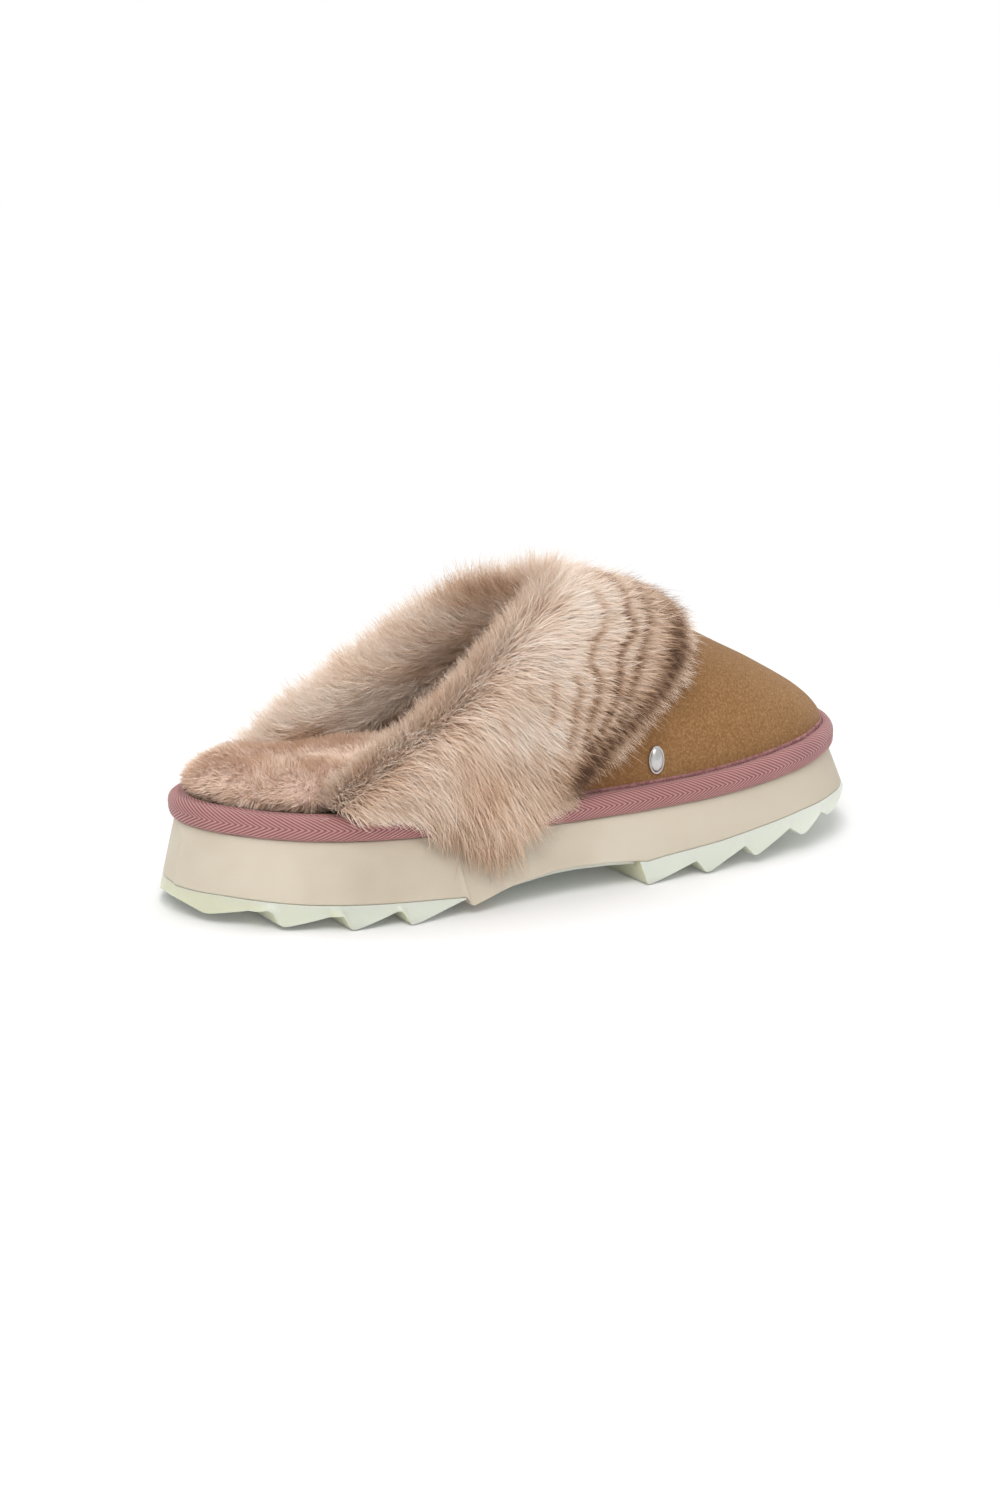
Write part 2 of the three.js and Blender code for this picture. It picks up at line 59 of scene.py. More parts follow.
FORE_TREAD = [
    (10.6, 6.6), (12.2, 0.0), (14.4, 0.0), (34.0, 4.8), (37.0, 0.6), (38.8, 0.6), (55.7, 6.8), (59.0, 3.0), (60.6, 3.2),
    (77.5, 9.4), (83.0, 6.0), (84.6, 6.3), (96.0, 11.4), (100.8, 9.2), (102.2, 9.5), (112.0, 12.8), (135.0, 13.3), (160, 13.4)]
BINDING_HEIGHT = [(-150, 8.4), (-60, 8.3), (40, 8.7), (90, 9.3), (150, 9.2)]
RIDGE = [
    (-125, 104), (-90, 102), (-50, 99), (-10, 95.5), (15, 93), (40, 86), (60, 77.8), (75, 70.6), (100, 57.4), (112, 50.2),
    (119, 44.8), (123, 41.2), (125.4, 38.8)]
TOPLINE = [(-91, 33), (-86, 41), (-76, 46.5), (-60, 55.5), (-40, 68.5), (-19, 82.5), (-3, 90), (10, 94.5), (15, 98), (18, 130)]
COLLAR_FRONT = [(-14, 20), (-10, 36), (1, 47), (15, 58), (28, 67), (39, 74.5), (46, 80), (52, 130)]
VAMP_INSET = 3.0
POWER = 2.25
GAP = 0.3
SHIFT = np.array([1.9916611, -0.1208458, 0.0])


def table(points):
    xs, ys = (np.array(c, float) for c in zip(*points))
    return lambda x: np.interp(x, xs, ys)


def smooth(points):
    xs, ys = (np.array(c, float) for c in zip(*points))
    n = len(xs)
    d = np.diff(ys) / np.diff(xs)
    m = np.zeros(n)
    m[0], m[-1] = d[0], d[-1]
    for i in range(1, n - 1):
        m[i] = 0.0 if d[i - 1] * d[i] <= 0 else 2 * d[i - 1] * d[i] / (d[i - 1] + d[i])

    def at(x):
        x = np.asarray(x, float)
        i = np.clip(np.searchsorted(xs, x), 1, n - 1)
        h = xs[i] - xs[i - 1]
        t = (x - xs[i - 1]) / h
        y = ((2 * t**3 - 3 * t**2 + 1) * ys[i - 1] + (t**3 - 2 * t**2 + t) * h * m[i - 1]
             + (-2 * t**3 + 3 * t**2) * ys[i] + (t**3 - t**2) * h * m[i])
        y = np.where(x <= xs[0], ys[0] + m[0] * (x - xs[0]), y)
        return np.where(x >= xs[-1], ys[-1] + m[-1] * (x - xs[-1]), y)

    return at


z_top = smooth(PLATFORM_TOP)
flare = smooth(SIDE_FLARE)
bind_h = smooth(BINDING_HEIGHT)
ridge = smooth(RIDGE)
z_under = table(UNDERSIDE)


def z_bind(x):
    return z_top(x) + bind_h(x)


def closed_curve(points, count):
    p = np.array(points, float)
    n = len(p)
    t = np.arange(count) / count * n
    i = np.floor(t).astype(int)
    w = (t - i)[:, None]
    p0, p1, p2, p3 = p[(i - 1) % n], p[i % n], p[(i + 1) % n], p[(i + 2) % n]
    d0, d1, d2 = (np.maximum(((a - b) ** 2).sum(1) ** 0.25, 1e-6)[:, None] for a, b in ((p1, p0), (p2, p1), (p3, p2)))
    t1 = ((p1 - p0) / d0 - (p2 - p0) / (d0 + d1) + (p2 - p1) / d1) * d1
    t2 = ((p2 - p1) / d1 - (p3 - p1) / (d1 + d2) + (p3 - p2) / d2) * d1
    c2 = -3 * p1 + 3 * p2 - 2 * t1 - t2
    c3 = 2 * p1 - 2 * p2 + t1 + t2
    at = p1 + w * (t1 + w * (c2 + w * c3))
    tan = t1 + 2 * w * c2 + 3 * w * w * c3
    tan /= np.linalg.norm(tan, axis=1)[:, None]
    return at, np.stack([tan[:, 1], -tan[:, 0]], 1)


BASE, NORMAL = closed_curve(OUTLINE, 2800)


def sides(off):
    """Lateral and medial edge of the outline moved outward by off(x, y), as tables over x."""
    d = np.broadcast_to(off(BASE[:, 0], BASE[:, 1]), len(BASE))
    p = BASE + NORMAL * d[:, None]
    n = len(p)
    a, c = int(p[:, 0].argmin()), int(p[:, 0].argmax())
    out = []
    for step in (1, -1):
        count = ((c - a) * step) % n
        q = p[(a + step * np.arange(count + 1)) % n]
        top = np.maximum.accumulate(q[:, 0])
        keep = np.concatenate([[True], q[1:, 0] > top[:-1] + 1e-6])
        out.append(q[keep])
    return out[0], out[1]          # lateral (−y) first


def flare_at(x, y, z):
    return flare(x) * np.where(y > 0, 0.86, 1.0) * (z_top(x) - z) / (z_top(x) - np.clip(z_under(x), 6, 17))


D_STEP, D_LOW, D_HIGH = 1.0, -16.0, 16.0
X_STEP, X_LOW, X_HIGH = 0.25, -150.0, 150.0
_xg = np.arange(X_LOW, X_HIGH + 1e-6, X_STEP)
_dg = np.arange(D_LOW, D_HIGH + 1e-6, D_STEP)
LAT = np.zeros((len(_dg), len(_xg)))
MED = np.zeros_like(LAT)
for _i, _d in enumerate(_dg):
    _l, _m = sides(lambda x, y, d=_d: d - VAMP_INSET + 0 * x)
    LAT[_i] = np.interp(_xg, _l[:, 0], _l[:, 1])
    MED[_i] = np.interp(_xg, _m[:, 0], _m[:, 1])


def bilinear(tab, x, d):
    fx = np.clip((x - X_LOW) / X_STEP, 0, tab.shape[1] - 1.001)
    fd = np.clip((d - D_LOW) / D_STEP, 0, tab.shape[0] - 1.001)
    ix, id_ = fx.astype(int), fd.astype(int)
    tx, td = fx - ix, fd - id_
    return ((tab[id_, ix] * (1 - tx) + tab[id_, ix + 1] * tx) * (1 - td)
            + (tab[id_ + 1, ix] * (1 - tx) + tab[id_ + 1, ix + 1] * tx) * td)


def arch(x, phi, d):
    """Point of the arched upper surface, moved outward by d."""
    x, phi, d = np.broadcast_arrays(np.asarray(x, float), np.asarray(phi, float), np.asarray(d, float))
    lat, med = bilinear(LAT, x, d), bilinear(MED, x, d)
    w, mid = (med - lat) / 2, (med + lat) / 2
    z0 = z_bind(x) + GAP
    slope = (ridge(x + 1) - ridge(x - 1)) / 2
    top = ridge(x) + d * np.minimum(np.hypot(1, slope), 1.7)
    h = np.maximum(top - z0, 0.8) * np.minimum(1, np.sqrt(np.maximum(w, 0.3) / 9))
    c, s = np.cos(phi), np.sin(phi)
    return np.stack([x, mid - w * np.sign(c) * np.abs(c) ** (2 / POWER), z0 + h * np.abs(s) ** (2 / POWER)], -1)


# light and fur amounts
KEY, TOP, AMBIENT = 9.0, 5.0, 0.78
FUR_UNDER, FUR_GUARD, FUR_WISPS = 62000, 76000, 7000
PILE = 72000


# ---------------------------------------------------------------- mesh helpers
def place(p):
    """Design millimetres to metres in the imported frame."""
    return (np.asarray(p, float) + SHIFT) * MM


def new_object(name, me):
    ob = bpy.data.objects.new(name, me)
    bpy.context.scene.collection.objects.link(ob)
    return ob


def fast_mesh(name, co, faces, uvs=None):
    """Mesh from arrays: co (n, 3) in metres, faces (m, k) of one size, uvs {name: (m * k, 2)}."""
    co = np.ascontiguousarray(co, np.float32)
    faces = np.ascontiguousarray(faces, np.int32)
    me = bpy.data.meshes.new(name)
    me.vertices.add(len(co))
    me.vertices.foreach_set("co", co.ravel())
    me.loops.add(faces.size)
    me.loops.foreach_set("vertex_index", faces.ravel())
    me.polygons.add(len(faces))
    me.polygons.foreach_set("loop_start", np.arange(len(faces), dtype=np.int32) * faces.shape[1])
    for key, uv in (uvs or {}).items():
        layer = me.uv_layers.new(name=key)
        layer.data.foreach_set("uv", np.ascontiguousarray(uv, np.float32).ravel())
    me.update(calc_edges=True)
    return me


def grid_faces(rows, cols, wrap_rows=False, wrap_cols=False):
    r = np.arange(rows if wrap_rows else rows - 1)
    c = np.arange(cols if wrap_cols else cols - 1)
    R, C = np.meshgrid(r, c, indexing="ij")
    R2, C2 = (R + 1) % rows, (C + 1) % cols
    return np.stack([R * cols + C, R2 * cols + C, R2 * cols + C2, R * cols + C2], -1).reshape(-1, 4)


def tidy(me, dist=2e-6, angle=None):
    """Merges the doubled points at the tips, turns every face outward and marks the hard edges."""
    bm = bmesh.new()
    bm.from_mesh(me)
    bmesh.ops.remove_doubles(bm, verts=bm.verts, dist=dist)
    bmesh.ops.dissolve_degenerate(bm, edges=bm.edges, dist=dist)
    bmesh.ops.recalc_face_normals(bm, faces=bm.faces)
    bm.to_mesh(me)
    bm.free()
    me.polygons.foreach_set("use_smooth", np.ones(len(me.polygons), bool))
    if angle:
        me.set_sharp_from_angle(angle=math.radians(angle))
    me.update()
    return me


def vertices_of(me):
    co = np.zeros(len(me.vertices) * 3, np.float32)
    me.vertices.foreach_get("co", co)
    return co.reshape(-1, 3).astype(float)


def normals_of(me):
    no = np.zeros(len(me.vertices) * 3, np.float32)
    me.vertices.foreach_get("normal", no)
    return no.reshape(-1, 3).astype(float)


def unit(v):
    return v / np.maximum(np.linalg.norm(v, axis=-1, keepdims=True), 1e-12)


# Soft value noise from a few seeded sine waves, the same on every run.
def waves(seed, count, scale):
    r = np.random.default_rng(seed)
    k = unit(r.normal(size=(count, 3))) * (2 * math.pi / (scale * r.uniform(0.6, 1.6, (count, 1))))
    ph = r.uniform(0, 2 * math.pi, count)

    def at(p):
        return np.sin(p @ k.T + ph).mean(-1) * math.sqrt(count / 2) * 0.8

    return at


# ---------------------------------------------------------------- material helpers
class Nodes:
    def __init__(self, name):
        self.mat = bpy.data.materials.new(name)
        self.mat.use_nodes = True
        self.t = self.mat.node_tree
        self.bsdf = self.t.nodes["Principled BSDF"]

    def add(self, kind, **values):
        n = self.t.nodes.new(kind)
        for key, v in values.items():
            if key.startswith("_"):
                self.link_or_set(n.inputs[int(key[1:])], v)
            elif key in n.bl_rna.properties:
                setattr(n, key, v)
            else:
                self.link_or_set(n.inputs[key.replace("__", " ")], v)
        return n

    def link_or_set(self, socket, v):
        if isinstance(v, bpy.types.NodeSocket):
            self.t.links.new(v, socket)
        else:
            socket.default_value = v

    def math(self, op, a, b=0.0, c=0.0, clamp=False):
        n = self.t.nodes.new("ShaderNodeMath")
        n.operation, n.use_clamp = op, clamp
        for i, v in enumerate((a, b, c)):
            self.link_or_set(n.inputs[i], v)
        return n.outputs[0]

    def coords(self, scale=(1, 1, 1), rotate=(0, 0, 0)):
        tc = self.t.nodes.new("ShaderNodeTexCoord")
        m = self.add("ShaderNodeMapping", Scale=scale, Rotation=rotate, Vector=tc.outputs["Object"])
        return m.outputs[0]

    def noise(self, vec, scale, detail=2.0, rough=0.5, distortion=0.0):
        n = self.add("ShaderNodeTexNoise", Vector=vec, Scale=scale, Detail=detail, Roughness=rough, Distortion=distortion)
        return n.outputs["Fac"]

    def voronoi(self, vec, scale, feature="F1", out="Distance"):
        n = self.add("ShaderNodeTexVoronoi", Vector=vec, Scale=scale, feature=feature)
        return n.outputs[out]

    def ramp(self, fac, stops, interp="LINEAR"):
        n = self.t.nodes.new("ShaderNodeValToRGB")
        n.color_ramp.interpolation = interp
        e = n.color_ramp.elements
        while len(e) < len(stops):
            e.new(0.5)
        for el, (pos, col) in zip(e, stops):
            el.position = pos
            el.color = (*col, 1) if len(col) == 3 else col
        self.link_or_set(n.inputs[0], fac)
        return n.outputs["Color"]

    def scalar(self, fac, stops, interp="LINEAR"):
        out = self.ramp(fac, [(p, (v, v, v)) for p, v in stops], interp)
        return self.add("ShaderNodeRGBToBW", Color=out).outputs[0]

    def mix(self, fac, a, b, blend="MIX"):
        n = self.t.nodes.new("ShaderNodeMix")
        n.data_type, n.blend_type = "RGBA", blend
        for s, v in ((n.inputs[0], fac), (n.inputs[6], a), (n.inputs[7], b)):
            if not isinstance(v, bpy.types.NodeSocket) and s.type == "RGBA" and len(v) == 3:
                v = (*v, 1)
            self.link_or_set(s, v)
        return n.outputs[2]

    def bump(self, height, strength=0.5, distance=0.0005, normal=None):
        n = self.add("ShaderNodeBump", Height=height, Strength=strength, Distance=distance)
        if normal is not None:
            self.t.links.new(normal, n.inputs["Normal"])
        return n.outputs[0]

    def uv(self, name):
        return self.add("ShaderNodeUVMap", uv_map=name).outputs[0]

    def finish(self, colour, rough=0.7, normal=None, **values):
        for key, v in {"Base Color": colour, "Roughness": rough, **values}.items():
            if key == "Base Color" and not isinstance(v, bpy.types.NodeSocket) and len(v) == 3:
                v = (*v, 1)
            self.link_or_set(self.bsdf.inputs[key], v)
        if normal is not None:
            self.t.links.new(normal, self.bsdf.inputs["Normal"])
        return self.mat


def srgb(r, g, b):
    """8-bit display colour to the scene's linear numbers."""
    out = []
    for c in (r, g, b):
        c /= 255
        out.append(c / 12.92 if c <= 0.04045 else ((c + 0.055) / 1.055) ** 2.4)
    return tuple(out)


def dress(ob, mat):
    ob.data.materials.clear()
    ob.data.materials.append(mat)


# ---------------------------------------------------------------- camera, light, floor
AZ, EL, DIST, FPX, TX, TZ = math.radians(-31.482386), math.radians(13.573474), 900.1318, 2523.1142, -9.848939, 35.970195
BACK = np.array([math.sin(AZ) * math.cos(EL), -math.cos(AZ) * math.cos(EL), math.sin(EL)])
RIGHT = np.array([math.cos(AZ), math.sin(AZ), 0.0])
UP = np.cross(BACK, RIGHT)
EYE = RIGHT * TX + UP * TZ + BACK * DIST
cam_data = bpy.data.cameras.new("camera")
cam_data.sensor_fit = "HORIZONTAL"
cam_data.sensor_width = 36.0
cam_data.lens = FPX * 36.0 / 1000.0
cam_data.clip_start, cam_data.clip_end = 0.05, 50
cam = new_object("camera", cam_data)
m = Matrix.Identity(4)
for i, axis in enumerate((RIGHT, UP, BACK)):
    for k in range(3):
        m[k][i] = axis[k]
for k in range(3):
    m[k][3] = place(EYE)[k]
cam.matrix_world = m
scene = bpy.context.scene
scene.camera = cam
scene.view_settings.view_transform = "Standard"
scene.view_settings.look = "None"

world = bpy.data.worlds.new("studio")
scene.world = world
world.use_nodes = True
world.node_tree.nodes["Background"].inputs[0].default_value = (1.0, 1.0, 1.0, 1)
lp = world.node_tree.nodes.new("ShaderNodeLightPath")
mx = world.node_tree.nodes.new("ShaderNodeMapRange")
mx.inputs[3].default_value, mx.inputs[4].default_value = AMBIENT, 1.0
world.node_tree.links.new(lp.outputs["Is Camera Ray"], mx.inputs[0])
world.node_tree.links.new(mx.outputs[0], world.node_tree.nodes["Background"].inputs[1])


def area(name, place_at, aim, size, power, colour=(1, 1, 1)):
    d = bpy.data.lights.new(name, "AREA")
    d.shape, d.size, d.energy, d.color = "DISK", size, power, colour
    ob = bpy.data.objects.new(name, d)
    scene.collection.objects.link(ob)
    ob.location = place_at
    ob.rotation_euler = (Vector(aim) - Vector(place_at)).to_track_quat("-Z", "Y").to_euler()
    return ob


area("key", (-0.55, -0.75, 1.25), (0, 0, 0.03), 0.9, KEY, (1.0, 0.985, 0.965))
area("top", (0.25, 0.35, 1.35), (0, 0, 0.03), 0.8, TOP, (0.97, 0.985, 1.0))

# Floor: one round sheet whose far part glows like the studio wall, so no horizon shows.
rad = np.concatenate([[0.0], np.geomspace(0.05, 9.0, 40)])
ang = np.linspace(0, 2 * math.pi, 96, endpoint=False)
fc = np.stack([rad[:, None] * np.cos(ang), rad[:, None] * np.sin(ang), np.zeros((len(rad), len(ang))) - 0.00025], -1)
floor_me = fast_mesh("floor", fc.reshape(-1, 3), grid_faces(len(rad), len(ang), wrap_cols=True)[:, ::-1])
floor = new_object("floor", tidy(floor_me, 1e-5))
n = Nodes("floor_paper")
tc = n.t.nodes.new("ShaderNodeTexCoord")
dist = n.add("ShaderNodeVectorMath", operation="LENGTH", _0=tc.outputs["Object"]).outputs["Value"]
far = n.scalar(n.math("MULTIPLY", dist, 1 / 1.2), [(0.18, 0.0), (0.75, 1.0)], "EASE")
paper = n.noise(tc.outputs["Object"], 900, 3)
col = n.mix(0.04, (0.86, 0.86, 0.86), n.ramp(paper, [(0.3, (0.6, 0.6, 0.6)), (0.7, (1, 1, 1))]))
n.finish(n.mix(far, col, (0.0, 0.0, 0.0)), 0.9)
n.link_or_set(n.bsdf.inputs["Emission Color"], n.mix(far, (0.05, 0.05, 0.05), (1.0, 1.0, 1.0)))
n.bsdf.inputs["Emission Strength"].default_value = 1.0
n.bsdf.inputs["Specular IOR Level"].default_value = 0.1
dress(floor, n.mat)


# ---------------------------------------------------------------- lofts from outline rings
def stations(x0, x1, lo=None, hi=None, step=1.0, tips=30):
    """x values from the heel tip to the toe tip, the same count on every ring; lo or hi ends the loft short."""
    a, b = -112.0, 112.0
    inner = [np.arange(a if lo is None else lo, (b if hi is None else hi) + step * 0.5, step)]
    inner[0][-1] = b if hi is None else hi
    t = np.sin(np.linspace(0, math.pi / 2, tips + 1))
    if lo is None:
        inner.insert(0, (a + (x0 - a) * t[1:])[::-1])
    if hi is None:
        inner.append(b + (x1 - b) * t[1:])
    return np.concatenate(inner)


def ring(off, **opts):
    """(x, lateral y, medial y) of the outline moved outward by off(x, y)."""
    lat, med = sides(off)
    xs = stations(lat[0, 0], lat[-1, 0], **opts)
    return xs, np.interp(xs, lat[:, 0], lat[:, 1]), np.interp(xs, med[:, 0], med[:, 1])


def loft(name, layers, across=1, angle=30):
    """Closed body through rings [(ring, z(x) or array)], capped below and above by strips across it."""
    pts, m = [], None
    for (xs, lat, med), z in layers:
        z = z(xs) if callable(z) else z
        m = len(xs)
        pts.append(np.stack([np.concatenate([xs, xs[::-1]]), np.concatenate([lat, med[::-1]]), np.concatenate([z, z[::-1]])], 1))
    pts = np.stack(pts)
    L = len(pts)
    faces = grid_faces(L, 2 * m, wrap_cols=True).tolist()
    allp = pts.reshape(-1, 3)
    extra = []
    base_count = len(allp)
    for o in (0, (L - 1) * 2 * m):
        left = allp[o:o + m]
        right = allp[o + m:o + 2 * m][::-1]
        li, ri = np.arange(o, o + m), np.arange(o + 2 * m - 1, o + m - 1, -1)
        cols = [li]
        for k in range(1, across):
            f = k / across
            cols.append(base_count + len(extra) + np.arange(m))
            extra.extend((left * (1 - f) + right * f).tolist())
        cols.append(ri)
        for a, b in zip(cols, cols[1:]):
            for i in range(m - 1):
                faces.append([a[i], a[i + 1], b[i + 1], b[i]])
    if extra:
        allp = np.concatenate([allp, np.array(extra)])
    me = bpy.data.meshes.new(name)
    me.from_pydata(place(allp).tolist(), [], [[int(v) for v in f] for f in faces])
    tidy(me, 2e-6, angle)
    return new_object(name, me)


def rounded_layers(z_low, z_high, offset, r_low, r_high, steps=4, mids=6, **opts):
    """Rings for a wall from z_low(x) to z_high(x) whose edges are rounded by r_low and r_high; offset(x, y, z)."""
    out = []
    spec = []
    for k in range(steps + 1):
        th = math.pi / 2 * k / steps
        spec.append(("low", 1 - math.cos(th), 1 - math.sin(th)))
    for k in range(1, mids):
        spec.append(("mid", k / mids, 0))
    for k in range(steps, -1, -1):
        th = math.pi / 2 * k / steps
        spec.append(("high", 1 - math.cos(th), 1 - math.sin(th)))
    for kind, up, inset in spec:
        def z_of(x, kind=kind, up=up):
            lo, hi = z_low(x), z_high(x)
            t = np.maximum(hi - lo, 0.05)
            rl, rh = np.minimum(r_low, 0.45 * t), np.minimum(r_high, 0.45 * t)
            if kind == "low":
                return lo + rl * up
            if kind == "high":
                return hi - rh * up
            return (lo + rl) + (t - rl - rh) * up
        r = r_low if kind == "low" else r_high
        rg = ring(lambda x, y, z_of=z_of, inset=inset, r=r: offset(x, y, z_of(x)) - r * inset, **opts)
        out.append((rg, z_of))
    return out


def softened(points, sigma=0.35, step=0.2):
    """The side-view line with its corners slightly rounded."""
    xs, ys = (np.array(c, float) for c in zip(*points))
    x = np.arange(xs[0], xs[-1] + step, step)
    y = np.interp(x, xs, ys)
    k = np.arange(-8, 9) * step
    w = np.exp(-0.5 * (k / sigma) ** 2)
    pad = np.concatenate([np.full(8, y[0]), y, np.full(8, y[-1])])
    y = np.convolve(pad, w / w.sum(), "valid")
    return lambda q: np.interp(q, x, y)


# ---------------------------------------------------------------- foam and rubber materials
def foam_material(name, base, dark, light, pebble=0.25):
    n = Nodes(name)
    v = n.coords()
    big = n.noise(v, 16, 3, 0.55)
    mid = n.noise(v, 160, 4, 0.6)
    fine = n.noise(v, 2400, 3, 0.6)
    c = n.ramp(big, [(0.3, dark), (0.52, base), (0.75, light)])
    c = n.mix(0.10, c, n.ramp(fine, [(0.35, dark), (0.65, light)]))
    pores = n.voronoi(v, 3200)
    c = n.mix(n.scalar(pores, [(0.0, 0.16), (0.16, 0.0)]), c, dark)
    # painted shade darkens the wall in patches towards its bottom edge, and the foam is darker towards the toe
    sep = n.add("ShaderNodeSeparateXYZ", _0=n.t.nodes[[k.name for k in n.t.nodes if k.bl_idname == "ShaderNodeTexCoord"][0]].outputs["Object"])
    low = n.scalar(n.math("MULTIPLY", sep.outputs[2], 25.0), [(0.1, 0.35), (0.4, 0.0)])
    c = n.mix(n.math("MULTIPLY", low, mid), c, dark)
    c = n.mix(n.scalar(n.math("MULTIPLY", sep.outputs[0], 6.0), [(0.0, 0.0), (0.7, 0.62)]), c, dark)
    h = n.math("ADD", n.math("MULTIPLY", fine, 0.5), n.math("ADD", n.math("MULTIPLY", mid, 0.8), n.math("MULTIPLY", pores, 0.35)))
    rough = n.scalar(mid, [(0.3, 0.62), (0.7, 0.78)])
    return n.finish(c, rough, n.bump(h, pebble, 0.0004), **{"Specular IOR Level": 0.35, "Subsurface Weight": 0.12,
                    "Subsurface Radius": (0.004, 0.003, 0.002), "Subsurface Scale": 0.6})


def rubber_material(name):
    n = Nodes(name)
    v = n.coords()
    big = n.noise(v, 14, 3, 0.5)
    fine = n.noise(v, 900, 4, 0.6)
    c = n.ramp(big, [(0.3, srgb(198, 203, 189)), (0.5, srgb(209, 214, 201)), (0.72, srgb(219, 223, 212))])
    geo = n.add("ShaderNodeNewGeometry")
    nrm = n.add("ShaderNodeSeparateXYZ", _0=geo.outputs["Normal"])
    # painted shade tints the walls that face the heel yellow-green, and the treads turn darker grey towards their
    # lowest edges
    back = n.scalar(n.math("MULTIPLY", nrm.outputs[0], -1.0), [(0.35, 0.0), (0.95, 0.75)])
    c = n.mix(back, c, srgb(206, 204, 172))
    pos = n.add("ShaderNodeSeparateXYZ", _0=geo.outputs["Position"])
    low_edge_grey = n.scalar(n.math("MULTIPLY", pos.outputs[2], 250.0), [(0.0, 0.45), (0.6, 0.0)])
    c = n.mix(n.math("MULTIPLY", low_edge_grey, n.noise(v, 420, 4, 0.7)), c, srgb(150, 152, 140))
    rough = n.scalar(fine, [(0.3, 0.30), (0.7, 0.44)])
    return n.finish(c, rough, n.bump(n.math("ADD", fine, n.math("MULTIPLY", n.noise(v, 2600, 2), 0.5)), 0.10, 0.0003),
                    **{"Subsurface Weight": 0.35, "Subsurface Radius": (0.006, 0.008, 0.004), "Subsurface Scale": 0.8,
                       "Specular IOR Level": 0.5, "Coat Weight": 0.12, "Coat Roughness": 0.2})


MAT_FOAM = foam_material("midsole_foam", srgb(207, 197, 179), srgb(190, 178, 159), srgb(217, 208, 191))
MAT_RUBBER = rubber_material("mint_rubber")

# ---------------------------------------------------------------- soles
under_line = softened(UNDERSIDE, 0.3)
midsole = loft("midsole_foam_body", rounded_layers(
    lambda x: under_line(x), z_top, flare_at, 0.7, 0.5, 4, 8, step=0.6), across=10)
dress(midsole, MAT_FOAM)
heel_line, fore_line = softened(HEEL_TREAD, 0.35), softened(FORE_TREAD, 0.35)
heel = loft("outsole_heel_rubber", rounded_layers(
    lambda x: heel_line(x), lambda x: np.maximum(np.interp(x, *zip(*UNDERSIDE)) - 0.06, heel_line(x) + 0.4), flare_at,
    0.5, 0.15, 3, 5, hi=-57.6, step=0.4), across=8)
dress(heel, MAT_RUBBER)
fore = loft("outsole_forefoot_rubber", rounded_layers(
    lambda x: fore_line(x), lambda x: np.maximum(np.interp(x, *zip(*UNDERSIDE)) - 0.06, fore_line(x) + 0.4), flare_at,
    0.5, 0.15, 3, 5, lo=10.9, step=0.4), across=8)
web = loft("outsole_web_rubber", rounded_layers(
    lambda x: under_line(x) - 1.6, lambda x: under_line(x) - 0.06,
    lambda x, y, z: flare_at(x, y, 8.0) - 3.2, 0.3, 0.15, 3, 2, lo=-45.0, hi=12.0, step=0.8), across=8)
for ob in (fore, web):
    dress(ob, MAT_RUBBER)
with bpy.context.temp_override(active_object=fore, selected_editable_objects=[fore, web], object=fore, selected_objects=[fore, web]):
    bpy.ops.object.join()


# ---------------------------------------------------------------- woven tape round the platform edge
PROFILE = [(-3.8, 0.3, 0), (-1.6, 0.3, 0), (0.4, 0.3, 0), (1.35, 0.95, 0), (1.78, 2.2, 0), (1.9, 3.6, 0), (1.95, 5.0, 0.3),
           (1.75, 6.3, 0.5), (1.15, 7.4, 0.8), (0.2, 8.1, 1), (-0.9, 8.35, 1), (-1.55, 8.2, 1), (-1.95, 7.85, 1), (-2.35, 7.9, 1),
           (-2.75, 8.3, 1), (-3.3, 8.5, 1), (-3.8, 8.4, 1)]
RIB = 0.92


def even_line(points, count):
    """Points evenly spaced along the smooth line through the given ones."""
    p = np.array(points, float)
    seg = np.concatenate([[0], np.cumsum(np.linalg.norm(np.diff(p[:, :2], axis=0), axis=1))])
    fine = np.linspace(0, seg[-1], 400)
    q = np.stack([np.interp(fine, seg, p[:, i]) for i in range(3)], 1)
    k = np.exp(-0.5 * (np.arange(-12, 13) / 5.0) ** 2)
    k /= k.sum()
    pad = np.concatenate([np.repeat(q[:1], 12, 0), q, np.repeat(q[-1:], 12, 0)])
    q = np.stack([np.convolve(pad[:, i], k, "valid") for i in range(3)], 1)
    s = np.concatenate([[0], np.cumsum(np.linalg.norm(np.diff(q[:, :2], axis=0), axis=1))])
    t = np.linspace(0, s[-1], count)
    return np.stack([np.interp(t, s, q[:, i]) for i in range(3)], 1), t


def walk_outline(count):
    """Even steps round the outline: points, outward normals, distance walked."""
    seg = np.linalg.norm(np.roll(BASE, -1, 0) - BASE, axis=1)
    s = np.concatenate([[0], np.cumsum(seg)])
    t = np.arange(count) / count * s[-1]
    wrap = np.concatenate([BASE, BASE[:1]])
    nwrap = np.concatenate([NORMAL, NORMAL[:1]])
    p = np.stack([np.interp(t, s, wrap[:, i]) for i in range(2)], 1)
    nn = unit(np.stack([np.interp(t, s, nwrap[:, i]) for i in range(2)], 1))
    return p, nn, t, s[-1]


def offset_points(p, nn, off, z, k):
    xy = p + nn * off
    return np.stack([xy[..., 0], xy[..., 1], z_top(xy[..., 0]) + z + k * (bind_h(xy[..., 0]) - 8.4)], -1)


